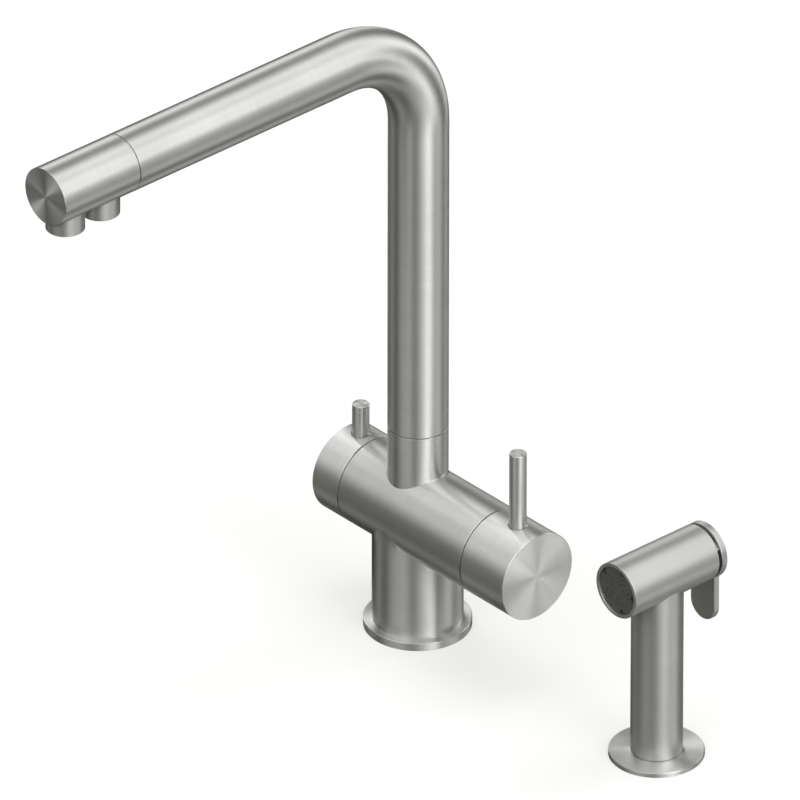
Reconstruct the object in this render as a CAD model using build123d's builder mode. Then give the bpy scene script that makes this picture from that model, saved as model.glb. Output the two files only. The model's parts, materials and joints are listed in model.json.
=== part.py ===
from build123d import *
import os
from math import atan, degrees

os.makedirs("parts", exist_ok=True)

# A three-way kitchen faucet and its hand spray. The origin is the faucet's axis at the deck.
# +Z is up, the spout points to -Y, and the mixer knob and the spray lie to +X.

# Fits and gaps, in millimetres
seam = 0.5  # open line between a knob or the spout and the body
fine_seam = 0.3  # fine line between the arm and its outlet head
locating = 0.02  # radial play of a piece that is fixed in its bore
running = 0.05  # radial play of a turning or sliding fit
free_gap = 0.3  # air round a moving piece
film = 0.02  # water film between two ceramic discs
edge_break = 0.4  # small chamfer on turned rims

# Deck flange and column
column_r = 21.0
flange_lip = 4.0
flange_t = 4.0
spigot_step = 2.0
gasket_t = 1.0
gasket_inset = 1.5
gasket_width = 2.6

# Cross barrel
barrel_z = 62.0
barrel_step = 0.5
barrel_left = 30.8
barrel_right = 52.6
barrel_wall = 3.5

# Underside connections
port_circle_r = 10.0
port_r = 4.5
port_depth = 12.0
stud_r = 2.5
stud_depth = 14.0
stud_wall = 1.0
waterway_r = 3.0
waterway_overlap = 1.0  # how far a drilled way runs on into the next bore

# Neck and spout swivel
spout_r = 14.0
neck_wall = 2.0
neck_top = 106.15
neck_floor = 86.0
neck_fillet = 0.4
spindle_wall = 2.2
spindle_gap = 0.8
spindle_foot_gap = 1.0
spindle_socket = 18.0
glide_groove = 0.4
glide_height = 2.5
o_ring_r = 0.9
o_ring_groove = 2.2
o_ring_heights = (7.3, 10.3)
upper_glide_drop = 3.65
washer_inset = 0.7
stop_height = 14.0
stop_screw_r = 2.0
stop_tip_r = 1.3
stop_tip_reach = 1.6
stop_groove_depth = 1.2
stop_groove_height = 3.4
swivel_limit = 90.0

# Spout
spout_wall = 1.5
arm_z = 316.0
arm_reach = 224.3
bend_r = 48.0
outlet_head_length = 44.8
outlet_spigot = 8.0
outlet_spigot_wall = 1.2
end_wall = 3.0
mixed_outlet_inset = 11.8
outlet_spacing = 20.9
collar_r = 9.0
collar_drop = 6.4
collar_spigot_r = 7.5
collar_spigot_rise = 4.5
aerator_r = 7.7
aerator_t = 5.2
aerator_inset = 0.4
aerator_shelf = 1.8
screen_t = 1.2
screen_hole_r = 0.9
screen_pitch = 2.4
screen_rows = 5
filtered_hole_r = 1.5
filtered_hole_circle_r = 4.2

# Filtered water tube
tube_r = 3.0
tube_wall = 1.0
riser_gap = 0.4
riser_bend_z = 110.0
riser_offset_rise = 14.0
riser_bend_r = 12.0
riser_top_z = 134.0
outlet_bend_r = 9.0

# Mixer cartridge, stacked outwards from the chamber's floor
chamber_wall = 1.0
cartridge_seal_t = 0.6
cartridge_seal_width = 1.2
cartridge_base_t = 5.0
cartridge_wall = 2.3
disc_t = 4.0
carrier_t = 5.0
cartridge_end_t = 4.0
cartridge_nut_t = 5.5
inlet_offset_y = 6.0
inlet_drop = 6.0
mixed_rise = 13.0
mixing_slot_rise = 4.3
mixer_stem_r = 5.0
nut_gap = 2.0

# Filter valve, stacked outwards from its own floor
filter_floor = 4.0
filter_thread_r = 10.4
filter_sleeve_r = 8.0
filter_sleeve_wall = 1.5
filter_seal_t = 1.2
filter_disc_t = 3.0
filter_carrier_t = 3.0
filter_neck_x = 20.0
filter_end_x = 28.8
filter_window_r = 2.4
plenum_r = 5.0
plenum_depth = 6.0
filter_port_offset = 2.5
filter_port_r = 1.7
filter_stem_r = 4.0

# Diverter
diverter_x = 5.5
diverter_r = 5.5
diverter_floor = 70.0
diverter_wall = 1.5
diverter_port_r = 2.2
diverter_land_t = 1.5
diverter_rod_r = 1.5
diverter_rod_top = 79.0

# Knobs and their lever pins
mixer_knob_end = 81.5
mixer_pin_x = 68.3
mixer_pin_top = 121.9
mixer_cavity = 7.0
mixer_stem_end = 75.0
filter_knob_end = 48.4
filter_pin_x = 39.2
filter_pin_top = 99.3
filter_cavity = 2.5
filter_stem_end = 45.0
knob_wall = 2.5
pin_r = 4.0
pin_ring = 0.5
pin_ring_depth = 1.0
pin_seat_wall = 2.0
grub_r = 2.5
grub_length = 8.0
grub_socket_r = 1.25
grub_socket_depth = 3.0
stem_flat = 0.8

# Hand spray: place, holder and handle
spray_x = 155.9
spray_y = 6.5
holder_flange_r = 22.0
holder_flange_t = 2.3
holder_spigot_r = 9.5
holder_spigot_top = 24.0
hose_way_r = 7.75
holder_gasket_t = 0.8
holder_gasket_width = 4.0
holder_gasket_inset = 2.0
handle_r = 12.0
handle_wall = 1.6
bush_top = 22.0
connector_bottom = 28.0
connector_top = 44.0
hose_thread_r = 5.72
hose_thread_depth = 12.0
connector_way_r = 3.5
nipple_r = 5.0
nipple_length = 6.0
spray_riser_wall = 1.0

# Spray head
head_z = 96.4
head_r = 13.5
head_wall = 1.8
head_front = 25.3
head_rear = 25.8
head_rear_wall = 2.6
rim_chamfer = 0.3
face_recess = 0.7
face_t = 2.0
face_gap = 0.3
notch_r = 10.3
notch_width = 2.8
notch_depth = 1.2
petals = 5
nozzle_hole_r = 0.4
nozzle_pitch = 2.6
nozzle_row_r = (3.6, 4.7, 6.5, 7.6)
nozzle_counts = (1, 2, 3, 2)  # holes in each of a petal's rows
face_seal_t = 1.6
insert_front = 14.0
insert_wall = 1.5

# Spray valve
plunger_drop = 5.5
inlet_chamber_r = 4.6
seat_y = 5.0
seat_t = 2.0
seat_r = 2.6
outlet_chamber_r = 3.6
outlet_chamber_end = 13.0
channel_rise = 6.0
channel_r = 2.5
cross_way_r = 2.0
spring_seat_t = 3.0
plunger_rod_r = 1.5
plunger_head_r = 3.9
plunger_head_t = 2.0
plunger_washer_t = 1.2
plunger_dome = 1.2
plunger_gap = 0.1
gland_y = 17.0
gland_ring_r = 0.8
spring_r = 3.0
spring_wire_r = 0.35
spring_turns = 6

# Trigger
trigger_gap = 1.7
trigger_t = 3.2
tab_width = 16.0
tab_drop = 35.9
hinge_rise = 6.0
hinge_pin_r = 0.8
hinge_pin_half = 11.2
knuckle_r = 1.7
ear_outer = 10.2
ear_width = 2.4

# Sizes that follow from the ones above
flange_r = column_r + flange_lip
spigot_r = column_r - spigot_step
barrel_r = column_r + barrel_step
chamber_r = barrel_r - barrel_wall
chamber_floor = column_r + chamber_wall
neck_bore_r = spout_r - neck_wall
spindle_r = neck_bore_r - spindle_gap
spindle_bore_r = spindle_r - spindle_wall
riser_x = tube_r + riser_gap - spindle_bore_r
spout_bottom = neck_top + seam
spout_bore_r = spout_r - spout_wall
arm_seam = arm_reach - outlet_head_length
collar_bottom_z = arm_z - spout_r - collar_drop
mixed_outlet_y = arm_reach - mixed_outlet_inset
filtered_outlet_y = mixed_outlet_y - outlet_spacing
stud_circle_r = spigot_r - stud_wall - stud_r
filter_bore_r = filter_thread_r + locating
mixer_knob_start = barrel_right + seam
filter_knob_start = barrel_left + seam
handle_bore_r = handle_r - handle_wall
handle_bottom = holder_flange_t + free_gap
head_bore_r = head_r - head_wall
head_floor = head_rear - head_rear_wall
insert_r = head_bore_r - locating
hinge_back = head_rear + trigger_gap / 2
trigger_front = head_rear + trigger_gap
trigger_back = trigger_front + trigger_t

UP = (Align.CENTER, Align.CENTER, Align.MIN)


def deck(height):
    """The plane at a height above the deck, centred on the faucet's axis."""
    return Plane.XY.offset(height)


def across(x, z=barrel_z, y=0.0):
    """The plane square to the barrel at x, facing right, with its own x along +Y and y up."""
    return Plane(origin=(x, y, z), x_dir=(0, 1, 0), z_dir=(1, 0, 0))


def arm(reach):
    """The plane square to the spout's arm at a reach, facing the arm's end."""
    return Plane(origin=(0, -reach, arm_z), x_dir=(1, 0, 0), z_dir=(0, -1, 0))


def stop(y):
    """The plane square to the stop screw, y behind the faucet's axis, facing it."""
    return Plane(origin=(0, y, neck_floor + stop_height), z_dir=(0, -1, 0))


def stand(height):
    """The plane at a height above the deck, centred on the hand spray's axis."""
    return Plane(origin=(spray_x, spray_y, height))


def head(y, rise=0.0):
    """The plane square to the spray head, y behind its column's axis, facing the nozzle."""
    return Plane(origin=(spray_x, spray_y + y, head_z + rise), x_dir=(1, 0, 0), z_dir=(0, -1, 0))


def hinge(x):
    """The plane square to the trigger's hinge pin at x from the spray's axis, facing right."""
    return across(spray_x + x, head_z + hinge_rise, spray_y + hinge_back)


# Deck flange: a turned ring round the body's spigot, with a recess below for its gasket
with BuildPart() as base_flange:
    with BuildSketch(deck(0)):
        Circle(flange_r)
        Circle(spigot_r + locating, mode=Mode.SUBTRACT)
    extrude(amount=flange_t)
    with BuildSketch(deck(0)):
        Circle(flange_r - gasket_inset)
        Circle(flange_r - gasket_inset - gasket_width, mode=Mode.SUBTRACT)
    extrude(amount=gasket_t, mode=Mode.SUBTRACT)
    rim = base_flange.edges().filter_by(GeomType.CIRCLE).group_by(Axis.Z)[-1].sort_by(SortBy.RADIUS)
    chamfer(rim[-1], edge_break)

with BuildPart() as base_gasket:
    with BuildSketch(deck(0)):
        Circle(flange_r - gasket_inset - locating)
        Circle(flange_r - gasket_inset - gasket_width + locating, mode=Mode.SUBTRACT)
    extrude(amount=gasket_t)

# Valve body: column, cross barrel and neck in one piece, bored for both valves and the spout
ports = [
    (0, -port_circle_r, 0),
    (0, port_circle_r, 0),
    (-port_circle_r, 0, 0),
    (port_circle_r, 0, 0),
]
inlet_z = barrel_z - inlet_drop
mixed_z = barrel_z + mixed_rise
waterways = [
    ((0, -port_circle_r, port_depth), (chamber_floor + waterway_r, -inlet_offset_y, inlet_z)),
    ((0, port_circle_r, port_depth), (chamber_floor + waterway_r, inlet_offset_y, inlet_z)),
    ((-port_circle_r, 0, port_depth), (0, 0, barrel_z - filter_port_offset)),
    ((port_circle_r, 0, port_depth), (diverter_x, 0, diverter_floor + waterway_overlap)),
    ((chamber_floor + waterway_r, 0, mixed_z), (diverter_x, 0, mixed_z)),
]

with BuildPart() as valve_body:
    with BuildSketch(deck(0)):
        Circle(spigot_r)
    extrude(amount=flange_t)
    with BuildSketch(deck(flange_t)):
        Circle(column_r)
    extrude(amount=barrel_z - flange_t)
    with BuildSketch(across(-barrel_left)):
        Circle(barrel_r)
    extrude(amount=barrel_left + barrel_right)
    with BuildSketch(deck(barrel_z)):
        Circle(spout_r)
    extrude(amount=neck_top - barrel_z)
    saddles = valve_body.edges().filter_by(GeomType.CIRCLE, reverse=True)
    saddles = saddles.filter_by(GeomType.LINE, reverse=True)
    fillet(saddles.filter_by_position(Axis.Z, barrel_z, neck_top), neck_fillet)
    barrel_ends = valve_body.edges().filter_by(GeomType.CIRCLE).group_by(Axis.X)
    chamfer(barrel_ends[0] + barrel_ends[-1], edge_break)
    # bores for the cartridge, the filter valve, the spout's spindle and the diverter
    with Locations(across(barrel_right)):
        Hole(chamber_r, depth=barrel_right - chamber_floor)
    with BuildSketch(across(-barrel_left)):
        Circle(filter_bore_r)
    extrude(amount=barrel_left - filter_floor, mode=Mode.SUBTRACT)
    with BuildSketch(across(-filter_floor)):
        Circle(plenum_r)
    extrude(amount=plenum_depth, mode=Mode.SUBTRACT)
    with Locations(deck(neck_top)):
        Hole(neck_bore_r, depth=neck_top - neck_floor)
    with Locations(deck(neck_floor)):
        with Locations((diverter_x, 0)):
            Hole(diverter_r, depth=neck_floor - diverter_floor)
        with Locations((riser_x, 0)):
            Hole(tube_r + locating, depth=neck_floor - barrel_z)
    # threaded inlets, fixing studs and the drilled waterways above the inlets
    for place in ports:
        with Locations(place):
            Cylinder(port_r, port_depth, align=UP, mode=Mode.SUBTRACT)
    with PolarLocations(stud_circle_r, 2, start_angle=45):
        Cylinder(stud_r, stud_depth, align=UP, mode=Mode.SUBTRACT)
    for foot, top in waterways:
        run = Vector(top) - Vector(foot)
        with BuildSketch(Plane(origin=foot, z_dir=run)):
            Circle(waterway_r)
        extrude(amount=run.length, mode=Mode.SUBTRACT)
    # tapped hole for the stop screw, at the neck's back
    with BuildSketch(stop(spout_r + seam)):
        Circle(stop_screw_r + locating)
    extrude(amount=neck_wall + 2 * seam, mode=Mode.SUBTRACT)

# Stop screw: its plain tip runs in the spindle's groove
with BuildPart() as spout_stop_screw:
    with BuildSketch(stop(spout_r - free_gap)):
        Circle(stop_screw_r)
    extrude(amount=neck_wall - 2 * free_gap)
    with BuildSketch(stop(neck_bore_r)):
        Circle(stop_tip_r)
    extrude(amount=stop_tip_reach)
    with BuildSketch(stop(neck_bore_r + free_gap)):
        Circle(stop_tip_r)
    extrude(amount=free_gap)
    with BuildSketch(stop(spout_r)):
        RegularPolygon(stop_tip_r / 2, 6)
    extrude(amount=neck_wall / 2, mode=Mode.SUBTRACT)

# Mixer cartridge: seals, base, fixed disc, moving disc, stem, housing and clamp nut
cartridge_r = chamber_r - locating
seal_x = chamber_floor
base_x = seal_x + cartridge_seal_t
fixed_disc_x = base_x + cartridge_base_t
moving_disc_x = fixed_disc_x + disc_t + film
carrier_x = moving_disc_x + disc_t
cartridge_lid_x = carrier_x + carrier_t + free_gap
cartridge_nut_x = cartridge_lid_x + cartridge_end_t
mixer_disc_r = cartridge_r - cartridge_wall - 2 * running
cartridge_ports = [
    (-inlet_offset_y, -inlet_drop),
    (inlet_offset_y, -inlet_drop),
    (0, mixed_rise),
]

with BuildPart() as cartridge_seals:
    with BuildSketch(across(seal_x)):
        with Locations(*cartridge_ports):
            Circle(waterway_r + cartridge_seal_width)
            Circle(waterway_r, mode=Mode.SUBTRACT)
    extrude(amount=cartridge_seal_t)

with BuildPart() as cartridge_base:
    with BuildSketch(across(base_x)):
        Circle(cartridge_r)
        with Locations(*cartridge_ports):
            Circle(waterway_r, mode=Mode.SUBTRACT)
    extrude(amount=cartridge_base_t)

with BuildPart() as fixed_mixing_disc:
    with BuildSketch(across(fixed_disc_x)):
        Circle(mixer_disc_r)
        with Locations(*cartridge_ports):
            Circle(waterway_r - cartridge_seal_width / 2, mode=Mode.SUBTRACT)
    extrude(amount=disc_t)

with BuildPart() as moving_mixing_disc:
    with BuildSketch(across(moving_disc_x)):
        Circle(mixer_disc_r)
    extrude(amount=disc_t)
    # the chamber that joins the inlets to the mixed way
    with BuildSketch(across(moving_disc_x)):
        with Locations((0, mixing_slot_rise)):
            SlotOverall(mixer_disc_r, 2 * waterway_r, rotation=90)
    extrude(amount=disc_t / 2, mode=Mode.SUBTRACT)

with BuildPart() as cartridge_housing:
    with BuildSketch(across(fixed_disc_x)):
        Circle(cartridge_r)
        Circle(cartridge_r - cartridge_wall, mode=Mode.SUBTRACT)
    extrude(amount=cartridge_lid_x - fixed_disc_x)
    with BuildSketch(across(cartridge_lid_x)):
        Circle(cartridge_r)
        Circle(mixer_stem_r + running, mode=Mode.SUBTRACT)
    extrude(amount=cartridge_end_t)

with BuildPart() as cartridge_nut:
    with BuildSketch(across(cartridge_nut_x)):
        Circle(cartridge_r)
        RegularPolygon(mixer_stem_r + 2 * nut_gap, 6, mode=Mode.SUBTRACT)
    extrude(amount=cartridge_nut_t)

with BuildPart() as mixer_stem:
    with BuildSketch(across(carrier_x)):
        Circle(mixer_disc_r)
    extrude(amount=carrier_t)
    with BuildSketch(across(carrier_x)):
        Circle(mixer_stem_r)
    extrude(amount=mixer_stem_end - carrier_x)
    # flat for the grub screw
    with BuildSketch(across(mixer_knob_start + mixer_cavity)):
        with Locations((0, -mixer_stem_r)):
            Rectangle(2 * mixer_stem_r, 2 * stem_flat)
    extrude(amount=mixer_stem_end - mixer_knob_start, mode=Mode.SUBTRACT)

# Filter valve: a quarter-turn ceramic headwork screwed in from the left
filter_seal_x = filter_floor + filter_seal_t
filter_moving_x = filter_seal_x + filter_disc_t + film
filter_carrier_x = filter_moving_x + filter_disc_t
filter_shoulder_x = filter_carrier_x + filter_carrier_t + free_gap
filter_disc_r = filter_sleeve_r - filter_sleeve_wall - 2 * running

with BuildPart() as filter_valve_seal:
    with BuildSketch(across(-filter_seal_x)):
        Circle(filter_sleeve_r)
        Circle(plenum_r, mode=Mode.SUBTRACT)
    extrude(amount=filter_seal_t)

with BuildPart() as filter_valve_body:
    with BuildSketch(across(-filter_neck_x)):
        Circle(filter_sleeve_r)
    extrude(amount=filter_neck_x - filter_seal_x)
    with BuildSketch(across(-filter_end_x)):
        Circle(filter_thread_r)
    extrude(amount=filter_end_x - filter_neck_x)
    with BuildSketch(across(-filter_shoulder_x)):
        Circle(filter_disc_r + 2 * running)
    extrude(amount=filter_shoulder_x - filter_seal_x, mode=Mode.SUBTRACT)
    with BuildSketch(across(-filter_end_x)):
        Circle(filter_stem_r + running)
    extrude(amount=filter_end_x - filter_seal_x, mode=Mode.SUBTRACT)
    # two side windows let the water out round the sleeve
    with Locations((-filter_carrier_x, 0, barrel_z)):
        Cylinder(filter_window_r, 2 * filter_thread_r, mode=Mode.SUBTRACT)

with BuildPart() as fixed_filter_disc:
    with BuildSketch(across(-filter_moving_x + film)):
        Circle(filter_disc_r)
        with Locations((0, filter_port_offset)):
            Circle(filter_port_r, mode=Mode.SUBTRACT)
    extrude(amount=filter_disc_t)

with BuildPart() as moving_filter_disc:
    with BuildSketch(across(-filter_carrier_x)):
        Circle(filter_disc_r)
        with Locations((filter_port_offset, 0)):
            Circle(filter_port_r, mode=Mode.SUBTRACT)
    extrude(amount=filter_disc_t)

with BuildPart() as filter_stem:
    with BuildSketch(across(-filter_carrier_x - filter_carrier_t)):
        Circle(filter_disc_r)
    extrude(amount=filter_carrier_t)
    with BuildSketch(across(-filter_stem_end)):
        Circle(filter_stem_r)
    extrude(amount=filter_stem_end - filter_carrier_x)
    with BuildSketch(across(-filter_stem_end)):
        with Locations((0, -filter_stem_r)):
            Rectangle(2 * filter_stem_r, 2 * stem_flat)
    extrude(amount=filter_stem_end - filter_knob_start - filter_cavity, mode=Mode.SUBTRACT)

# Diverter: a sleeve under the neck's floor, with a spool that rises when the spray runs
with BuildPart() as diverter_body:
    with Locations((diverter_x, 0, diverter_floor)):
        Cylinder(diverter_r - locating, neck_floor - diverter_floor, align=UP)
        Cylinder(diverter_port_r, neck_floor - diverter_floor, align=UP, mode=Mode.SUBTRACT)
    with Locations((diverter_x, 0, diverter_floor + diverter_wall)):
        Cylinder(
            diverter_r - diverter_wall,
            neck_floor - diverter_floor - 2 * diverter_wall,
            align=UP,
            mode=Mode.SUBTRACT,
        )
    with BuildSketch(across(diverter_x, mixed_z)):
        Circle(diverter_port_r)
    extrude(amount=diverter_r, mode=Mode.SUBTRACT)

spool_r = diverter_r - diverter_wall - running

with BuildPart() as diverter_spool:
    with Locations((diverter_x, 0, diverter_floor + diverter_wall)):
        Cylinder(spool_r, diverter_land_t, align=UP)
        Cylinder(diverter_rod_r, diverter_rod_top - diverter_floor - diverter_wall, align=UP)
    with Locations((diverter_x, 0, diverter_rod_top)):
        Cylinder(spool_r, diverter_land_t, align=UP)

# Spout spindle: the turned plug that carries the spout in the neck
spindle_foot = neck_floor + spindle_foot_gap
groove_r = spindle_r - stop_groove_depth
stop_z = neck_floor + stop_height
stop_half_angle = swivel_limit + degrees(atan((stop_tip_r + free_gap) / groove_r))
o_ring_centre_r = neck_bore_r - running - o_ring_r
glide_feet = (spindle_foot + spindle_foot_gap, neck_top - upper_glide_drop)

with BuildPart() as spout_spindle:
    with BuildSketch(deck(spindle_foot)):
        Circle(spindle_r)
    extrude(amount=spout_bottom - spindle_foot)
    with BuildSketch(deck(spout_bottom)):
        Circle(spout_bore_r - locating)
    extrude(amount=spindle_socket)
    with BuildSketch(deck(spindle_foot)):
        Circle(spindle_bore_r)
    extrude(amount=spout_bottom + spindle_socket - spindle_foot, mode=Mode.SUBTRACT)
    # grooves for the glide rings and the O-rings
    for foot in glide_feet:
        with BuildSketch(deck(foot)):
            Circle(neck_bore_r)
            Circle(spindle_r - glide_groove, mode=Mode.SUBTRACT)
        extrude(amount=glide_height, mode=Mode.SUBTRACT)
    for rise in o_ring_heights:
        with BuildSketch(deck(neck_floor + rise - o_ring_groove / 2)):
            Circle(neck_bore_r)
            Circle(o_ring_centre_r - o_ring_r, mode=Mode.SUBTRACT)
        extrude(amount=o_ring_groove, mode=Mode.SUBTRACT)
    # stop groove: an arc on the neck's back whose ends meet the stop screw's tip
    with BuildSketch(Plane.XZ):
        with Locations((neck_bore_r - (neck_bore_r - groove_r) / 2, stop_z)):
            Rectangle(neck_bore_r - groove_r, stop_groove_height)
    stop_arc = revolve(axis=Axis.Z, revolution_arc=2 * stop_half_angle, mode=Mode.PRIVATE)
    add(stop_arc.rotate(Axis.Z, 90 - stop_half_angle), mode=Mode.SUBTRACT)

with BuildPart() as glide_rings:
    for foot in glide_feet:
        with BuildSketch(deck(foot)):
            Circle(neck_bore_r - running)
            Circle(spindle_r - glide_groove, mode=Mode.SUBTRACT)
        extrude(amount=glide_height)

with BuildPart() as spindle_o_rings:
    for rise in o_ring_heights:
        with BuildSketch(Plane.XZ):
            with Locations((o_ring_centre_r, neck_floor + rise)):
                Circle(o_ring_r)
        revolve(axis=Axis.Z)

with BuildPart() as swivel_washer:
    with BuildSketch(deck(neck_top)):
        Circle(spout_r - washer_inset)
        Circle(spindle_r + locating, mode=Mode.SUBTRACT)
    extrude(amount=seam)

# Spout tube: drawn stainless tube, one bend of ninety degrees
with BuildPart() as spout_tube:
    with BuildLine() as spout_path:
        FilletPolyline(
            (0, 0, spout_bottom), (0, 0, arm_z), (0, fine_seam / 2 - arm_seam, arm_z), radius=bend_r
        )
    with BuildSketch(deck(spout_bottom)):
        Circle(spout_r)
        Circle(spout_bore_r, mode=Mode.SUBTRACT)
    sweep(path=spout_path.wires()[0])

# Outlet head: a turned cap on the arm's end, spigoted into the tube
outlet_start = arm_seam + fine_seam / 2
outlet_places = (filtered_outlet_y, mixed_outlet_y)
roof_z = arm_z - spout_r + collar_spigot_rise
shelf_z = collar_bottom_z + aerator_inset + aerator_t

with BuildPart() as outlet_head:
    with BuildSketch(arm(outlet_start)):
        Circle(spout_r)
    extrude(amount=arm_reach - outlet_start)
    with BuildSketch(arm(outlet_start - outlet_spigot)):
        Circle(spout_bore_r - locating)
    extrude(amount=outlet_spigot)
    with BuildSketch(arm(outlet_start - outlet_spigot)):
        Circle(spout_bore_r - outlet_spigot_wall)
    extrude(amount=arm_reach - end_wall - outlet_start + outlet_spigot, mode=Mode.SUBTRACT)
    rim = outlet_head.edges().filter_by(GeomType.CIRCLE).group_by(Axis.Y)[0]
    chamfer(rim, edge_break)
    with BuildSketch(deck(collar_bottom_z)):
        with Locations(*[(0, -place) for place in outlet_places]):
            Circle(collar_spigot_r)
    extrude(amount=arm_z - collar_bottom_z, mode=Mode.SUBTRACT)


def outlet_collar(place, way_r, roof_r):
    """A turned collar brazed under the outlet head, with a recess for its insert."""
    with BuildPart() as collar:
        with BuildSketch(deck(collar_bottom_z)):
            with Locations((0, -place)):
                Circle(collar_r)
        extrude(amount=arm_z - collar_bottom_z)
        with BuildSketch(arm(outlet_start)):
            Circle(spout_r + locating)
        extrude(amount=arm_reach - outlet_start, mode=Mode.SUBTRACT)
        with BuildSketch(deck(shelf_z)):
            with Locations((0, -place)):
                Circle(collar_spigot_r - locating)
        extrude(amount=roof_z - shelf_z)
        edge = collar.edges().filter_by(GeomType.CIRCLE).group_by(Axis.Z)[0]
        chamfer(edge, edge_break / 2)
        with BuildSketch(deck(collar_bottom_z)):
            with Locations((0, -place)):
                Circle(aerator_r + locating)
        extrude(amount=aerator_inset + aerator_t, mode=Mode.SUBTRACT)
        with BuildSketch(deck(shelf_z)):
            with Locations((0, -place)):
                Circle(way_r)
        extrude(amount=roof_z - aerator_shelf - shelf_z, mode=Mode.SUBTRACT)
        with BuildSketch(deck(shelf_z)):
            with Locations((0, -place)):
                Circle(roof_r)
        extrude(amount=roof_z - shelf_z, mode=Mode.SUBTRACT)
    return collar


collar_way_r = collar_spigot_r - aerator_shelf
mixed_collar = outlet_collar(mixed_outlet_y, collar_way_r, collar_way_r)
filtered_collar = outlet_collar(filtered_outlet_y, collar_way_r, tube_r + locating)

# Aerator and flow straightener: plastic inserts in the collars
with BuildPart() as mixed_aerator:
    with BuildSketch(deck(collar_bottom_z + aerator_inset)):
        with Locations((0, -mixed_outlet_y)):
            Circle(aerator_r)
            Circle(aerator_r - aerator_shelf / 2, mode=Mode.SUBTRACT)
    extrude(amount=aerator_t)
    with BuildSketch(deck(collar_bottom_z + aerator_inset)):
        with Locations((0, -mixed_outlet_y)):
            Circle(aerator_r - aerator_shelf / 2)
            with HexLocations(screen_pitch / 2, screen_rows, screen_rows, major_radius=False):
                Circle(screen_hole_r, mode=Mode.SUBTRACT)
    extrude(amount=screen_t)

with BuildPart() as filtered_insert:
    with BuildSketch(deck(collar_bottom_z + aerator_inset)):
        with Locations((0, -filtered_outlet_y)):
            Circle(aerator_r)
            Circle(filtered_hole_r, mode=Mode.SUBTRACT)
            with PolarLocations(filtered_hole_circle_r, 6):
                Circle(filtered_hole_r, mode=Mode.SUBTRACT)
    extrude(amount=aerator_t)

# Filtered water tube: a fixed riser in the neck, then a tube through the spout to its collar
with BuildPart() as filter_riser:
    with BuildLine() as riser_path:
        FilletPolyline(
            (riser_x, 0, barrel_z + filter_bore_r),
            (riser_x, 0, riser_bend_z),
            (0, 0, riser_bend_z + riser_offset_rise),
            (0, 0, riser_top_z),
            radius=riser_bend_r,
        )
    with BuildSketch(Plane(origin=(riser_x, 0, barrel_z + filter_bore_r))):
        Circle(tube_r)
        Circle(tube_r - tube_wall, mode=Mode.SUBTRACT)
    sweep(path=riser_path.wires()[0])

with BuildPart() as filter_tube:
    with BuildLine() as tube_path:
        FilletPolyline(
            (0, 0, riser_top_z + free_gap),
            (0, 0, arm_z),
            (0, -filtered_outlet_y, arm_z),
            (0, -filtered_outlet_y, roof_z - aerator_shelf),
            radius=(bend_r, outlet_bend_r),
        )
    with BuildSketch(deck(riser_top_z + free_gap)):
        Circle(tube_r)
        Circle(tube_r - tube_wall, mode=Mode.SUBTRACT)
    sweep(path=tube_path.wires()[0])


# Knobs: solid turned caps, hollow towards the barrel, each with a lever pin and a grub screw
def knob(start, end, pin_x, cavity, stem_r, stem_end, side):
    """A knob on the barrel's axis. Distances run outwards from the axis; side is 1 or -1."""
    near = Plane(origin=(side * start, 0, barrel_z), x_dir=(0, 1, 0), z_dir=(side, 0, 0))
    with BuildPart() as piece:
        with BuildSketch(near):
            Circle(barrel_r)
        extrude(amount=end - start)
        rims = piece.edges().filter_by(GeomType.CIRCLE)
        chamfer(rims, edge_break)
        with BuildSketch(near):
            Circle(barrel_r - knob_wall)
        extrude(amount=cavity, mode=Mode.SUBTRACT)
        with BuildSketch(near):
            Circle(stem_r + locating)
        extrude(amount=stem_end + free_gap - start, mode=Mode.SUBTRACT)
        with Locations((side * pin_x, 0, barrel_z + stem_r + pin_seat_wall)):
            Cylinder(pin_r + locating, barrel_r, align=UP, mode=Mode.SUBTRACT)
        with Locations((side * pin_x, 0, barrel_z + barrel_r - pin_ring_depth)):
            Cylinder(pin_r + pin_ring, barrel_r, align=UP, mode=Mode.SUBTRACT)
        with Locations((side * pin_x, 0, barrel_z - barrel_r)):
            Cylinder(grub_r + locating, barrel_r, align=UP, mode=Mode.SUBTRACT)
    return piece


def lever(pin_x, top, stem_r, side):
    """The round pin that turns a knob, seated in the knob above its stem."""
    with BuildPart() as piece:
        with Locations((side * pin_x, 0, barrel_z + stem_r + pin_seat_wall)):
            Cylinder(pin_r, top - barrel_z - stem_r - pin_seat_wall, align=UP)
        chamfer(piece.edges().filter_by(GeomType.CIRCLE), edge_break)
    return piece


def grub_screw(pin_x, stem_r, side):
    """The hex socket screw that clamps a knob on its stem's flat, from below."""
    foot = barrel_z - stem_r + stem_flat - grub_length
    with BuildPart() as piece:
        with Locations((side * pin_x, 0, foot)):
            Cylinder(grub_r, grub_length, align=UP)
        with BuildSketch(Plane(origin=(side * pin_x, 0, foot))):
            RegularPolygon(grub_socket_r, 6)
        extrude(amount=grub_socket_depth, mode=Mode.SUBTRACT)
    return piece


mixer_knob = knob(
    mixer_knob_start, mixer_knob_end, mixer_pin_x, mixer_cavity, mixer_stem_r, mixer_stem_end, 1
)
mixer_lever = lever(mixer_pin_x, mixer_pin_top, mixer_stem_r, 1)
mixer_grub_screw = grub_screw(mixer_pin_x, mixer_stem_r, 1)
filter_knob = knob(
    filter_knob_start, filter_knob_end, filter_pin_x, filter_cavity, filter_stem_r, filter_stem_end, -1
)
filter_lever = lever(filter_pin_x, filter_pin_top, filter_stem_r, -1)
filter_grub_screw = grub_screw(filter_pin_x, filter_stem_r, -1)

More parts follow.
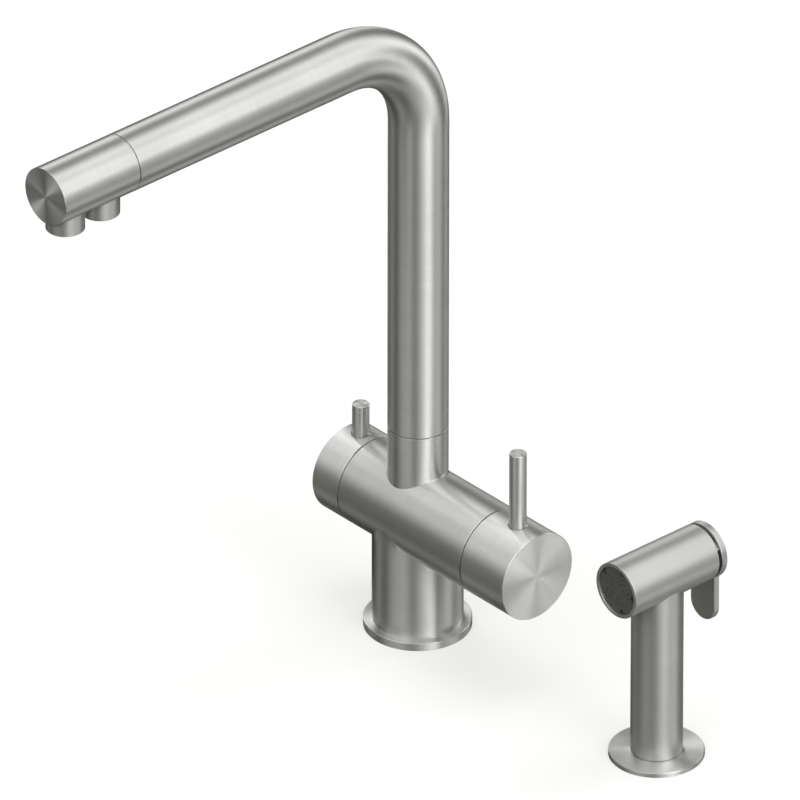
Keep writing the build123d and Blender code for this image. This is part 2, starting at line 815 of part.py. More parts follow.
# Spray holder: deck flange and hollow spigot in one turned piece, over a gasket
with BuildPart() as spray_holder:
    with BuildSketch(stand(0)):
        Circle(holder_flange_r)
    extrude(amount=holder_flange_t)
    rim = spray_holder.edges().filter_by(GeomType.CIRCLE).group_by(Axis.Z)[-1]
    chamfer(rim, edge_break)
    with BuildSketch(stand(holder_flange_t)):
        Circle(holder_spigot_r)
    extrude(amount=holder_spigot_top - holder_flange_t)
    with BuildSketch(stand(0)):
        Circle(hose_way_r)
    extrude(amount=holder_spigot_top, mode=Mode.SUBTRACT)
    with BuildSketch(stand(0)):
        Circle(holder_flange_r - holder_gasket_inset)
        Circle(holder_flange_r - holder_gasket_inset - holder_gasket_width, mode=Mode.SUBTRACT)
    extrude(amount=holder_gasket_t, mode=Mode.SUBTRACT)

with BuildPart() as holder_gasket:
    with BuildSketch(stand(0)):
        Circle(holder_flange_r - holder_gasket_inset - locating)
        Circle(
            holder_flange_r - holder_gasket_inset - holder_gasket_width + locating,
            mode=Mode.SUBTRACT,
        )
    extrude(amount=holder_gasket_t)

with BuildPart() as spray_bush:
    with BuildSketch(stand(handle_bottom)):
        Circle(handle_bore_r - running)
        Circle(holder_spigot_r + running, mode=Mode.SUBTRACT)
    extrude(amount=bush_top - handle_bottom)

# Spray handle: the upright tube, saddled to the head's underside
with BuildPart() as spray_handle:
    with BuildSketch(stand(handle_bottom)):
        Circle(handle_r)
        Circle(handle_bore_r, mode=Mode.SUBTRACT)
    extrude(amount=head_z - handle_bottom)
    foot = spray_handle.edges().filter_by(GeomType.CIRCLE).group_by(Axis.Z)[0]
    chamfer(foot.sort_by(SortBy.RADIUS)[-1], edge_break / 2)
    with BuildSketch(head(head_rear)):
        Circle(head_r + locating)
    extrude(amount=head_front + head_rear, mode=Mode.SUBTRACT)

with BuildPart() as hose_connector:
    with BuildSketch(stand(connector_bottom)):
        Circle(handle_bore_r - locating)
    extrude(amount=connector_top - connector_bottom)
    with BuildSketch(stand(connector_top)):
        Circle(nipple_r)
    extrude(amount=nipple_length)
    with BuildSketch(stand(connector_bottom)):
        Circle(hose_thread_r)
    extrude(amount=hose_thread_depth, mode=Mode.SUBTRACT)
    with BuildSketch(stand(connector_bottom)):
        Circle(connector_way_r)
    extrude(amount=connector_top + nipple_length - connector_bottom, mode=Mode.SUBTRACT)

spray_riser_r = nipple_r + locating + spray_riser_wall
riser_seat_z = head_z - insert_r + insert_wall / 2

with BuildPart() as spray_riser:
    with BuildSketch(stand(connector_top)):
        Circle(spray_riser_r)
        Circle(nipple_r + locating, mode=Mode.SUBTRACT)
    extrude(amount=riser_seat_z - connector_top)

# Spray head: bored from the front, with a closed back that carries the hinge ears
plunger_axis = -plunger_drop
ear_inner = ear_outer - ear_width

with BuildPart() as spray_head:
    with BuildSketch(head(head_rear)):
        Circle(head_r)
    extrude(amount=head_front + head_rear)
    rims = spray_head.edges().filter_by(GeomType.CIRCLE)
    chamfer(rims, edge_break)
    with BuildSketch(head(head_floor)):
        Circle(head_bore_r)
    extrude(amount=head_front + head_floor, mode=Mode.SUBTRACT)
    mouth = spray_head.edges().filter_by(GeomType.CIRCLE).group_by(Axis.Y)[0]
    chamfer(mouth.sort_by(SortBy.RADIUS)[0], rim_chamfer)
    # water comes up from the handle
    with BuildSketch(stand(head_z - head_r)):
        Circle(spray_riser_r + locating)
    extrude(amount=head_r, mode=Mode.SUBTRACT)
    # the plunger's rod and the trigger's knuckle
    with BuildSketch(head(head_rear, plunger_axis)):
        Circle(plunger_rod_r + gland_ring_r)
    extrude(amount=head_rear_wall, mode=Mode.SUBTRACT)
    with BuildSketch(hinge(-ear_inner)):
        Circle(knuckle_r + free_gap)
    extrude(amount=2 * ear_inner, mode=Mode.SUBTRACT)
    # hinge ears, one each side
    for side in (ear_inner, -ear_outer):
        with BuildSketch(hinge(side)):
            Circle(knuckle_r)
            with Locations((-trigger_gap / 2, 0)):
                Rectangle(trigger_gap, 2 * knuckle_r)
        extrude(amount=ear_width)
    with BuildSketch(hinge(-ear_outer)):
        Circle(hinge_pin_r + locating)
    extrude(amount=2 * ear_outer, mode=Mode.SUBTRACT)

with BuildPart() as hinge_pin:
    with BuildSketch(hinge(-hinge_pin_half)):
        Circle(hinge_pin_r)
    extrude(amount=2 * hinge_pin_half)

# Spray valve insert: inlet chamber and seat low down, with a channel above to the nozzle
with BuildPart() as spray_valve_body:
    with BuildSketch(head(head_floor)):
        Circle(insert_r)
    extrude(amount=head_floor + insert_front)
    with BuildSketch(head(seat_y, plunger_axis)):
        Circle(inlet_chamber_r)
    extrude(amount=seat_y + insert_front, mode=Mode.SUBTRACT)
    with BuildSketch(head(outlet_chamber_end, plunger_axis)):
        Circle(seat_r)
    extrude(amount=outlet_chamber_end - seat_y, mode=Mode.SUBTRACT)
    with BuildSketch(head(outlet_chamber_end, plunger_axis)):
        Circle(outlet_chamber_r)
    extrude(amount=outlet_chamber_end - seat_y - seat_t, mode=Mode.SUBTRACT)
    with BuildSketch(head(head_floor, plunger_axis)):
        Circle(plunger_rod_r + running)
    extrude(amount=head_floor - outlet_chamber_end, mode=Mode.SUBTRACT)
    with BuildSketch(head(gland_y + gland_ring_r, plunger_axis)):
        Circle(plunger_rod_r + running + 2 * gland_ring_r)
    extrude(amount=2 * gland_ring_r, mode=Mode.SUBTRACT)
    with BuildSketch(head(outlet_chamber_end, channel_rise)):
        Circle(channel_r)
    extrude(amount=outlet_chamber_end + insert_front, mode=Mode.SUBTRACT)
    cross_y = outlet_chamber_end - cross_way_r - insert_wall / 2
    with BuildSketch(Plane(origin=(spray_x, spray_y + cross_y, head_z + plunger_axis))):
        Circle(cross_way_r)
    extrude(amount=plunger_drop + channel_rise, mode=Mode.SUBTRACT)
    # socket for the riser, open to the inlet chamber
    with BuildSketch(stand(head_z - head_r)):
        Circle(spray_riser_r + locating)
    extrude(amount=riser_seat_z - head_z + head_r, mode=Mode.SUBTRACT)
    with BuildSketch(stand(head_z - head_r)):
        Circle(nipple_r - spray_riser_wall)
    extrude(amount=head_r - plunger_drop, mode=Mode.SUBTRACT)

with BuildPart() as gland_seal:
    with BuildSketch(across(spray_x, head_z + plunger_axis, spray_y)):
        with Locations((gland_y, plunger_rod_r + running + gland_ring_r)):
            Circle(gland_ring_r)
    revolve(axis=Axis((spray_x, spray_y, head_z + plunger_axis), (0, 1, 0)))

with BuildPart() as spring_seat:
    with BuildSketch(head(spring_seat_t - insert_front, plunger_axis)):
        Circle(inlet_chamber_r - locating)
    extrude(amount=spring_seat_t)

# Plunger: rod, head and rubber washer, held shut by the spring
plunger_end = trigger_front - plunger_gap
washer_front = seat_y - plunger_washer_t
head_plate_front = washer_front - plunger_head_t

with BuildPart() as valve_plunger:
    with BuildSketch(head(plunger_end, plunger_axis)):
        Circle(plunger_rod_r)
    extrude(amount=plunger_end - washer_front)
    tip = valve_plunger.edges().filter_by(GeomType.CIRCLE).group_by(Axis.Y)[-1]
    fillet(tip, plunger_dome)
    with BuildSketch(head(washer_front, plunger_axis)):
        Circle(plunger_head_r)
    extrude(amount=plunger_head_t)

with BuildPart() as plunger_washer:
    with BuildSketch(head(seat_y, plunger_axis)):
        Circle(plunger_head_r)
        Circle(plunger_rod_r + locating, mode=Mode.SUBTRACT)
    extrude(amount=plunger_washer_t)

spring_room = head_plate_front - (spring_seat_t - insert_front)
spring_length = spring_room - 2 * spring_wire_r

with BuildPart() as plunger_spring:
    with BuildLine() as spring_line:
        Helix(
            spring_length / spring_turns,
            spring_length,
            spring_r,
            center=(spray_x, spray_y + head_plate_front - spring_wire_r, head_z + plunger_axis),
            direction=(0, -1, 0),
        )
    with BuildSketch(Plane(origin=spring_line.line @ 0, z_dir=spring_line.line % 0)):
        Circle(spring_wire_r)
    sweep(path=spring_line.wires()[0], is_frenet=True)

# Nozzle plate: dark disc inside the rim, with key notches and groups of fine holes
face_front = face_recess - head_front
face_r = head_bore_r - face_gap

with BuildPart() as spray_face:
    with BuildSketch(head(face_front + face_t)):
        Circle(face_r)
        for petal in range(petals):
            for radius, holes in zip(nozzle_row_r, nozzle_counts):
                step = degrees(nozzle_pitch / radius)
                first = 360 / petals * petal - step * (holes - 1) / 2
                for hole in range(holes):
                    with PolarLocations(radius, 1, start_angle=first + step * hole):
                        Circle(nozzle_hole_r, mode=Mode.SUBTRACT)
    extrude(amount=face_t)
    with BuildSketch(head(face_front)):
        with PolarLocations(notch_r, petals):
            Rectangle(2 * (face_r - notch_r), notch_width)
    extrude(amount=-notch_depth, mode=Mode.SUBTRACT)

with BuildPart() as face_seal:
    with BuildSketch(head(face_front + face_t + face_seal_t)):
        Circle(head_bore_r - locating)
        Circle(head_bore_r - face_seal_t, mode=Mode.SUBTRACT)
    extrude(amount=face_seal_t)

# Trigger: round plate with a tab below, on a knuckle that turns on the hinge pin
pocket_width = ear_width + 2 * free_gap

with BuildPart() as trigger:
    with BuildSketch(head(trigger_back)):
        Circle(head_r)
        with Locations((0, (tab_width / 2 - tab_drop) / 2)):
            Rectangle(tab_width, tab_drop - tab_width / 2)
        with Locations((0, tab_width / 2 - tab_drop)):
            Circle(tab_width / 2)
    extrude(amount=trigger_t)
    outline = trigger.faces().sort_by(Axis.Y)[-1].edges()
    chamfer(outline, edge_break)
    with BuildSketch(hinge(free_gap - ear_inner)):
        Circle(knuckle_r)
    extrude(amount=2 * (ear_inner - free_gap))
    for side in (ear_inner - free_gap, -ear_outer - free_gap):
        with BuildSketch(hinge(side)):
            with Locations(((knuckle_r + free_gap) / 2, 0)):
                Rectangle(knuckle_r + free_gap, 2 * (knuckle_r + free_gap))
        extrude(amount=pocket_width, mode=Mode.SUBTRACT)
    with BuildSketch(hinge(-ear_outer)):
        Circle(hinge_pin_r + running)
    extrude(amount=2 * ear_outer, mode=Mode.SUBTRACT)

pieces = {
    "base_flange": base_flange,
    "base_gasket": base_gasket,
    "valve_body": valve_body,
    "spout_stop_screw": spout_stop_screw,
    "cartridge_seals": cartridge_seals,
    "cartridge_base": cartridge_base,
    "fixed_mixing_disc": fixed_mixing_disc,
    "moving_mixing_disc": moving_mixing_disc,
    "cartridge_housing": cartridge_housing,
    "cartridge_nut": cartridge_nut,
    "mixer_stem": mixer_stem,
    "filter_valve_seal": filter_valve_seal,
    "filter_valve_body": filter_valve_body,
    "fixed_filter_disc": fixed_filter_disc,
    "moving_filter_disc": moving_filter_disc,
    "filter_stem": filter_stem,
    "diverter_body": diverter_body,
    "diverter_spool": diverter_spool,
    "spout_spindle": spout_spindle,
    "glide_rings": glide_rings,
    "spindle_o_rings": spindle_o_rings,
    "swivel_washer": swivel_washer,
    "spout_tube": spout_tube,
    "outlet_head": outlet_head,
    "mixed_collar": mixed_collar,
    "filtered_collar": filtered_collar,
    "mixed_aerator": mixed_aerator,
    "filtered_insert": filtered_insert,
    "filter_riser": filter_riser,
    "filter_tube": filter_tube,
    "mixer_knob": mixer_knob,
    "mixer_lever": mixer_lever,
    "mixer_grub_screw": mixer_grub_screw,
    "filter_knob": filter_knob,
    "filter_lever": filter_lever,
    "filter_grub_screw": filter_grub_screw,
    "spray_holder": spray_holder,
    "holder_gasket": holder_gasket,
    "spray_bush": spray_bush,
    "spray_handle": spray_handle,
    "hose_connector": hose_connector,
    "spray_riser": spray_riser,
    "spray_head": spray_head,
    "hinge_pin": hinge_pin,
    "spray_valve_body": spray_valve_body,
    "gland_seal": gland_seal,
    "spring_seat": spring_seat,
    "valve_plunger": valve_plunger,
    "plunger_washer": plunger_washer,
    "plunger_spring": plunger_spring,
    "spray_face": spray_face,
    "face_seal": face_seal,
    "trigger": trigger,
}

for name, piece in pieces.items():
    piece.part.label = name
    export_step(piece.part, f"parts/{name}.step")
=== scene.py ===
import json

import bmesh
import bpy
import numpy as np
from mathutils import Matrix


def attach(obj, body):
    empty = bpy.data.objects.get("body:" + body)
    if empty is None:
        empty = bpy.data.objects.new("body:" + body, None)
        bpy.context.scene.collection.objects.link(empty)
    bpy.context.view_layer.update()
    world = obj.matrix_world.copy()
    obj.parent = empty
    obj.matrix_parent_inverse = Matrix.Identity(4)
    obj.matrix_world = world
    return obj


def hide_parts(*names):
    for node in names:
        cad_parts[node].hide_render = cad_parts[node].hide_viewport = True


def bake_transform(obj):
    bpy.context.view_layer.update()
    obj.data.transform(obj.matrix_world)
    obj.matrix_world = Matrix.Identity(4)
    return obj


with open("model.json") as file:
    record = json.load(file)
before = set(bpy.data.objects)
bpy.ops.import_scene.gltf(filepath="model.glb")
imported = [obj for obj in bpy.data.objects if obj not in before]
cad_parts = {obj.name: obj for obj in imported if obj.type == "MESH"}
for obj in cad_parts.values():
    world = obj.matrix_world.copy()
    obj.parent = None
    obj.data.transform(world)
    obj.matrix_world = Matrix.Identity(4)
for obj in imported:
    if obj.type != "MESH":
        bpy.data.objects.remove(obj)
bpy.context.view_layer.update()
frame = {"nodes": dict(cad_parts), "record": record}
scene = bpy.context.scene
scene.view_settings.view_transform = "Standard"

# ---------------------------------------------------------------------------
# Camera. The photograph is a parallel projection from 31 degrees above and 48
# degrees round to the right, so a very long lens looks at it from far off.
# ---------------------------------------------------------------------------
VIEW_RIGHT = np.array([0.66445, 0.74737, 0.00126])
VIEW_UP = np.array([-0.38922, 0.34458, 0.85426])
VIEW_BACK = np.array([0.63800, -0.56818, 0.51990])  # from the object towards the camera
VIEW_CENTRE = np.array([0.04828, -0.05314, 0.16171])  # m
VIEW_WIDTH = 0.36225  # m, in the plane through VIEW_CENTRE
VIEW_HALF_ANGLE = np.radians(0.62)
SENSOR = 36.0  # mm
CLIP_NEAR, CLIP_FAR = 1.0, 100.0  # m

lens = bpy.data.cameras.new("camera")
lens.sensor_width = SENSOR
lens.lens = SENSOR / 2 / np.tan(VIEW_HALF_ANGLE)
camera = bpy.data.objects.new("camera", lens)
scene.collection.objects.link(camera)
stand_off = VIEW_WIDTH / 2 / np.tan(VIEW_HALF_ANGLE)
axes = Matrix(np.stack([VIEW_RIGHT, VIEW_UP, VIEW_BACK], axis=1)).to_4x4()
camera.matrix_world = Matrix.Translation(VIEW_CENTRE + VIEW_BACK * stand_off) @ axes
lens.clip_start = CLIP_NEAR
lens.clip_end = CLIP_FAR
scene.camera = camera


# ---------------------------------------------------------------------------
# Studio light. Soft boxes hang round the set, most of them at the right and
# behind, with dim cards below them. Each is a round glow on the world, brightest
# in its middle, so that satin steel shows it as a soft band.
# ---------------------------------------------------------------------------
def linear(colour):
    """An sRGB hex colour as linear red, green, blue and 1."""
    parts = np.array([int(colour[k:k + 2], 16) / 255 for k in (1, 3, 5)])
    low = parts / 12.92
    high = ((parts + 0.055) / 1.055) ** 2.4
    return (*np.where(parts <= 0.04045, low, high), 1.0)


def add(tree, kind, inputs=(), **settings):
    """Adds a node. inputs maps socket name or number to a value or to another node's output."""
    item = tree.nodes.new(kind)
    for name, value in settings.items():
        setattr(item, name, value)
    for name, value in dict(inputs).items():
        if isinstance(value, bpy.types.NodeSocket):
            tree.links.new(value, item.inputs[name])
        else:
            item.inputs[name].default_value = value
    return item


# azimuth from the spout's side towards the mixer knob, elevation and half-width in
# degrees, then strength: strength * exp((cosine from the middle - 1) / half-width^2)
SOFT_BOXES = {
    "right_high": (60, 40, 10.7, 2.46),
    "right_top": (102, 45, 10.8, 2.17),
    "right_middle": (90, 21, 10, 6.12),
    "right_low": (77.5, -3.5, 10, 2.48),
    "right_edge": (59, -10.6, 10.6, 1.05),
    "front_high": (16, 35, 10.7, 3.97),
    "front_low": (-14, 17, 10.9, 1.13),
    "back": (168, 21, 10.2, 3.81),
    "back_high": (156, 63, 10.8, 2.18),
    "left_high": (-47, 57, 10.7, 2.26),
    "left": (-108, 32, 10.7, 3.73),
    "overhead": (22, 90, 10, 3.55),
    "right_card": (131.6, -33, 10, 2.0),
    "left_card": (-59, -19, 10, 0.66),
    "floor_card": (-9, -49.5, 10.8, 0.85),
    "back_floor_card": (116, -72, 10, 1.46),
}
DARK_WALLS = (0.016, 0.017, 0.0)  # the little light that the set's olive walls give back
WHITE = (1.0, 1.0, 1.0, 1.0)  # the background, seen by the camera alone

world = bpy.data.worlds.new("studio")
scene.world = world
world.use_nodes = True
sky = world.node_tree
sky.nodes.clear()
toward = add(sky, "ShaderNodeTexCoord").outputs["Generated"]
glow = None
for azimuth, elevation, width, strength in SOFT_BOXES.values():
    around, above = np.radians(azimuth), np.radians(elevation)
    aim = (np.cos(above) * np.sin(around), -np.cos(above) * np.cos(around), np.sin(above))
    tightness = 1 / np.radians(width) ** 2
    cosine = add(sky, "ShaderNodeVectorMath", {0: toward, 1: aim}, operation="DOT_PRODUCT")
    fall = add(
        sky,
        "ShaderNodeMath",
        {0: cosine.outputs["Value"], 1: tightness, 2: -tightness},
        operation="MULTIPLY_ADD",
    )
    spot = add(sky, "ShaderNodeMath", {0: fall.outputs[0]}, operation="EXPONENT")
    total = {0: spot.outputs[0], 1: strength, 2: 0.0 if glow is None else glow}
    glow = add(sky, "ShaderNodeMath", total, operation="MULTIPLY_ADD").outputs[0]
boxes = add(sky, "ShaderNodeCombineXYZ", {0: glow, 1: glow, 2: glow})
room = add(sky, "ShaderNodeVectorMath", {0: boxes.outputs[0], 1: DARK_WALLS}, operation="ADD")
rays = add(sky, "ShaderNodeLightPath")
seen = add(
    sky,
    "ShaderNodeMix",
    {0: rays.outputs["Is Camera Ray"], 6: room.outputs[0], 7: WHITE},
    data_type="RGBA",
)
backing = add(sky, "ShaderNodeBackground", {"Color": seen.outputs[2], "Strength": 1.0})
add(sky, "ShaderNodeOutputWorld", {"Surface": backing.outputs[0]})


# ---------------------------------------------------------------------------
# Floor: a matt white board, lit a little from within. The photograph's steel
# shows dark walls below the horizon, so the board is left out of reflections,
# but the camera sees it, with the object's shadow.
# ---------------------------------------------------------------------------
MM = 0.001  # m
MERGE = 2e-6  # m: points nearer than this are one
CREASE = np.radians(28)  # a sharper turn between two faces stays sharp in the shading


def build_mesh(name, grids):
    """A mesh from grids of points in mm, each with its brushing map in mm.

    Neighbours in a grid are joined by four-sided faces, whose front is on the side of
    (step along a row) x (step between rows). Points that coincide are then merged, which
    closes seams, poles and the joints between grids.
    """
    points, faces, maps = [], [], []
    start = 0
    for place, brushing in grids:
        rows, columns = place.shape[:2]
        index = start + np.arange(rows * columns).reshape(rows, columns)
        quads = np.stack(
            [index[:-1, :-1], index[:-1, 1:], index[1:, 1:], index[1:, :-1]], axis=-1
        )
        points.append(place.reshape(-1, 3))
        maps.append(brushing.reshape(-1, 2))
        faces.append(quads.reshape(-1, 4))
        start += rows * columns
    points, faces, maps = np.concatenate(points), np.concatenate(faces), np.concatenate(maps)
    mesh = bpy.data.meshes.new(name)
    mesh.from_pydata(points * MM, [], faces)
    layer = mesh.uv_layers.new(name="brushing")
    layer.data.foreach_set("uv", (maps[faces.reshape(-1)] * MM).astype(np.float32).ravel())
    merged = bmesh.new()
    merged.from_mesh(mesh)
    bmesh.ops.remove_doubles(merged, verts=merged.verts, dist=MERGE)
    merged.to_mesh(mesh)
    merged.free()
    mesh.shade_smooth()
    mesh.set_sharp_from_angle(angle=CREASE)
    return mesh


def place_mesh(mesh, material):
    """An object of that mesh and material, at the origin."""
    piece = bpy.data.objects.new(mesh.name, mesh)
    scene.collection.objects.link(piece)
    mesh.materials.append(material)
    return piece


FLOOR_REACH = 3000.0  # mm
BACKLIGHT = 0.5  # the share of the white board that glows evenly, which softens the shadow
matt_board = bpy.data.materials.new("matt_white_board")
matt_board.use_nodes = True
tree = matt_board.node_tree
tree.nodes.clear()
board = add(tree, "ShaderNodeBsdfDiffuse", {"Color": linear("#f4f4f3")})
backlit = add(tree, "ShaderNodeEmission", {"Color": WHITE, "Strength": 1.0})
to_camera = add(tree, "ShaderNodeLightPath").outputs["Is Camera Ray"]
lit_share = add(tree, "ShaderNodeMath", {0: to_camera, 1: BACKLIGHT}, operation="MULTIPLY")
board_face = add(
    tree,
    "ShaderNodeMixShader",
    {0: lit_share.outputs[0], 1: board.outputs[0], 2: backlit.outputs[0]},
)
add(tree, "ShaderNodeOutputMaterial", {"Surface": board_face.outputs[0]})
across_floor = np.linspace(-FLOOR_REACH, FLOOR_REACH, 3)
floor_x, floor_y = np.meshgrid(across_floor, across_floor)
floor_points = np.stack([floor_x, floor_y, np.zeros_like(floor_x)], axis=-1)
floor = place_mesh(build_mesh("floor", [(floor_points, floor_points[..., :2])]), matt_board)
floor.visible_glossy = False
floor.visible_shadow = False
floor.visible_diffuse = False

# ---------------------------------------------------------------------------
# Brushed stainless steel, grade 304, satin finish: drawn or turned, then
# brushed round each piece with fine abrasive cloth. The eye sees soft bands
# along a tube, a star on a turned end, and fine lines round the piece.
# ---------------------------------------------------------------------------
LINE_PITCH = 0.0009  # m: real lines are about 0.1 mm apart, drawn coarser so that they show
LINE_LENGTH = 0.02  # m: how far a line runs round the piece before it fades
LINE_DEPTH, LINE_RELIEF = 0.0001, 0.05  # m, and the share of that depth that is left
LINE_GLOSS = 0.03  # how much the roughness changes from line to line
SWEEP_SIZE = 0.03  # m: cloudy changes from the hand-held cloth
SWEEP_SHADE = 0.03  # how much lighter and darker they are
NOISE_LOW, NOISE_HIGH = 0.3, 0.7  # a noise texture's usual range
QUARTER_TURN = 0.25  # the gloss spreads across the lines, and the tangent runs along them


def brushed_steel(name, colour, roughness, spread, lines):
    """Satin steel whose gloss spreads across the brushing lines of the piece's own map.

    spread runs from 0, the same both ways, to 1, all of it across the lines. lines is how much
    lighter and darker single lines are.
    """
    steel = bpy.data.materials.new(name)
    steel.use_nodes = True
    tree = steel.node_tree
    tree.nodes.clear()
    place = add(tree, "ShaderNodeTexCoord").outputs["Object"]
    brushing = add(tree, "ShaderNodeUVMap", uv_map="brushing").outputs["UV"]
    over = add(tree, "ShaderNodeSeparateXYZ", {0: brushing}).outputs["Y"]
    phase = add(tree, "ShaderNodeMath", {0: over, 1: 1 / LINE_PITCH}, operation="MULTIPLY")
    slow = add(
        tree,
        "ShaderNodeVectorMath",
        {0: place, "Scale": 1 / LINE_LENGTH},
        operation="SCALE",
    )
    grain = add(
        tree,
        "ShaderNodeTexNoise",
        {"Vector": slow.outputs[0], "W": phase.outputs[0], "Scale": 1.0, "Detail": 3.0},
        noise_dimensions="4D",
    )
    cloud = add(
        tree,
        "ShaderNodeTexNoise",
        {"Vector": place, "Scale": 1 / SWEEP_SIZE, "Detail": 2.0},
    )
    shade = add(
        tree,
        "ShaderNodeMapRange",
        {0: grain.outputs[0], 1: NOISE_LOW, 2: NOISE_HIGH, 3: 1 - lines, 4: 1 + lines},
    )
    sweep = add(
        tree,
        "ShaderNodeMapRange",
        {
            0: cloud.outputs[0],
            1: NOISE_LOW,
            2: NOISE_HIGH,
            3: 1 - SWEEP_SHADE,
            4: 1 + SWEEP_SHADE,
        },
    )
    both = add(
        tree,
        "ShaderNodeMath",
        {0: shade.outputs[0], 1: sweep.outputs[0]},
        operation="MULTIPLY",
    )
    metal = add(
        tree,
        "ShaderNodeVectorMath",
        {0: linear(colour)[:3], "Scale": both.outputs[0]},
        operation="SCALE",
    )
    gloss = add(
        tree,
        "ShaderNodeMapRange",
        {
            0: grain.outputs[0],
            1: NOISE_LOW,
            2: NOISE_HIGH,
            3: roughness - LINE_GLOSS,
            4: roughness + LINE_GLOSS,
        },
    )
    relief = add(
        tree,
        "ShaderNodeBump",
        {"Height": grain.outputs[0], "Strength": LINE_RELIEF, "Distance": LINE_DEPTH},
    )
    along = add(tree, "ShaderNodeTangent", direction_type="UV_MAP", uv_map="brushing")
    shader = add(
        tree,
        "ShaderNodeBsdfPrincipled",
        {
            "Base Color": metal.outputs[0],
            "Metallic": 1.0,
            "Roughness": gloss.outputs[0],
            "Anisotropic": spread,
            "Anisotropic Rotation": QUARTER_TURN,
            "Tangent": along.outputs[0],
            "Normal": relief.outputs[0],
        },
    )
    add(tree, "ShaderNodeOutputMaterial", {"Surface": shader.outputs[0]})
    return steel


satin_steel = brushed_steel(
    "satin_brushed_stainless", "#cfcfce", roughness=0.42, spread=0.95, lines=0.03
)


def finish_piece(name, grids, material, slot, body, *nodes):
    """A finished piece of the object: it rides on a body and stands for the CAD nodes."""
    piece = place_mesh(build_mesh(name, grids), material)
    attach(piece, body)
    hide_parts(*nodes)
    return piece


# ---------------------------------------------------------------------------
# Deck flange: a turned steel ring with a broken edge, let in below for its
# rubber gasket. It lies on the deck round the body's foot.
# ---------------------------------------------------------------------------
X, Y, Z = np.eye(3)
ROUND = 128  # faces round a turned piece
EDGE = 0.4  # mm: broken edge of a turned rim
SUPPORT = 0.15  # mm: first point beyond a rounded corner, which keeps flat faces flat
FIT = 0.02  # mm: gap between two pieces that are located by each other
UPRIGHT = (np.zeros(3), Z, X)


def rounded(corners, steps=5):
    """A profile with rounded corners, as an array of (radius, height).

    corners holds (radius, height, bend). A corner with a bend becomes an arc of that radius,
    tangent to both of its sides, with a support point a little way outside each of its ends.
    """
    corners = np.asarray(corners, float)
    line, bends = corners[:, :2], corners[:, 2]
    out = [line[:1]]
    for before, corner, after, bend in zip(line[:-2], line[1:-1], line[2:], bends[1:-1]):
        if bend == 0:
            out.append(corner[None])
            continue
        back, ahead = before - corner, after - corner
        back_length, ahead_length = np.linalg.norm(back), np.linalg.norm(ahead)
        back, ahead = back / back_length, ahead / ahead_length
        half = np.arccos(np.clip(back @ ahead, -1, 1)) / 2
        cut = bend / np.tan(half)
        middle = corner + (back + ahead) / np.linalg.norm(back + ahead) * bend / np.sin(half)
        first, last = corner + back * cut - middle, corner + ahead * cut - middle
        swing = np.pi - 2 * half
        share = np.linspace(0, 1, steps + 1)[:, None]
        arc = (np.sin((1 - share) * swing) * first + np.sin(share * swing) * last) / np.sin(swing)
        out.append((corner + back * min(cut + SUPPORT, back_length))[None])
        out.append(middle + arc)
        out.append((corner + ahead * min(cut + SUPPORT, ahead_length))[None])
    out.append(line[-1:])
    return np.concatenate(out)


def turned(profile, place=UPRIGHT, count=ROUND):
    """A profile carried round an axis, as a lathe does.

    Each point is centre + height * axis + radius * (cos(a) * spoke + sin(a) * axis x spoke),
    with a from 0 to a full turn. The profile runs with the solid on its left.
    """
    centre, axis, spoke = place
    radius, height = np.asarray(profile, float).T[:, :, None]
    turn = np.linspace(0, 2 * np.pi, count + 1)
    ring = np.cos(turn)[:, None] * spoke + np.sin(turn)[:, None] * np.cross(axis, spoke)
    points = centre + height[..., None] * axis + radius[..., None] * ring
    steps = np.hypot(np.diff(radius[:, 0]), np.diff(height[:, 0]))
    run = np.concatenate([[0], np.cumsum(steps)])
    around, along = np.meshgrid(turn * radius.max(), run)
    return points, np.stack([around, along], axis=-1)


COLUMN_R, FLANGE_R, FLANGE_T, SPIGOT_R = 21.0, 25.0, 4.0, 19.0
GASKET_IN_R, GASKET_OUT_R, GASKET_T = 20.92, 23.5, 1.0
FOOT_EDGE = 0.15  # mm: broken edge of a flange, where it lies on the deck
FLANGE_LAP = 1.0  # mm: how far the flange reaches in under the column
flange_profile = rounded(
    [
        (SPIGOT_R + FIT, FLANGE_T, 0),
        (SPIGOT_R + FIT, 0, 0),
        (GASKET_IN_R, 0, 0),
        (GASKET_IN_R, GASKET_T, 0),
        (GASKET_OUT_R, GASKET_T, 0),
        (GASKET_OUT_R, 0, 0),
        (FLANGE_R, 0, FOOT_EDGE),
        (FLANGE_R, FLANGE_T, EDGE),
        (COLUMN_R - FLANGE_LAP, FLANGE_T, 0),
        (SPIGOT_R + FIT, FLANGE_T, 0),
    ]
)
finish_piece(
    "deck_flange",
    [turned(flange_profile)],
    satin_steel,
    "stainless",
    "faucet_base",
    "base_flange",
)

# ---------------------------------------------------------------------------
# Valve body: column, cross barrel and neck, machined from one casting. The
# column meets the barrel at a sharp line, and the neck grows out of it in a small
# fillet. Its ends are bored, and a thin lip behind each knob's seam covers the gap.
# ---------------------------------------------------------------------------
BARREL_Z, BARREL_R = 62.0, 21.5
BARREL_LEFT, BARREL_RIGHT = 30.7, 52.5
CHAMBER_R, CHAMBER_FLOOR, FILTER_BORE_R, FILTER_FLOOR = 18.0, 22.0, 10.42, 4.0
NECK_R, NECK_BORE_R, NECK_TOP, NECK_FLOOR, NECK_FILLET = 14.0, 12.0, 106.15, 86.0, 0.4
SEAM_EDGE = 0.15  # mm: broken edge at a fine seam
KNOB_SEAM_EDGE = 0.25  # mm: broken edge at the seams that turn
RIM, NECK_RIM = 1.0, 2.0  # mm: how far a turned end reaches along the outside
FILLET_ROWS, WALL_ROWS = 9, 9  # rows of points up the fillet, and up a plain wall
LEAD_STEPS = 12  # steps along the barrel from its end to an opening
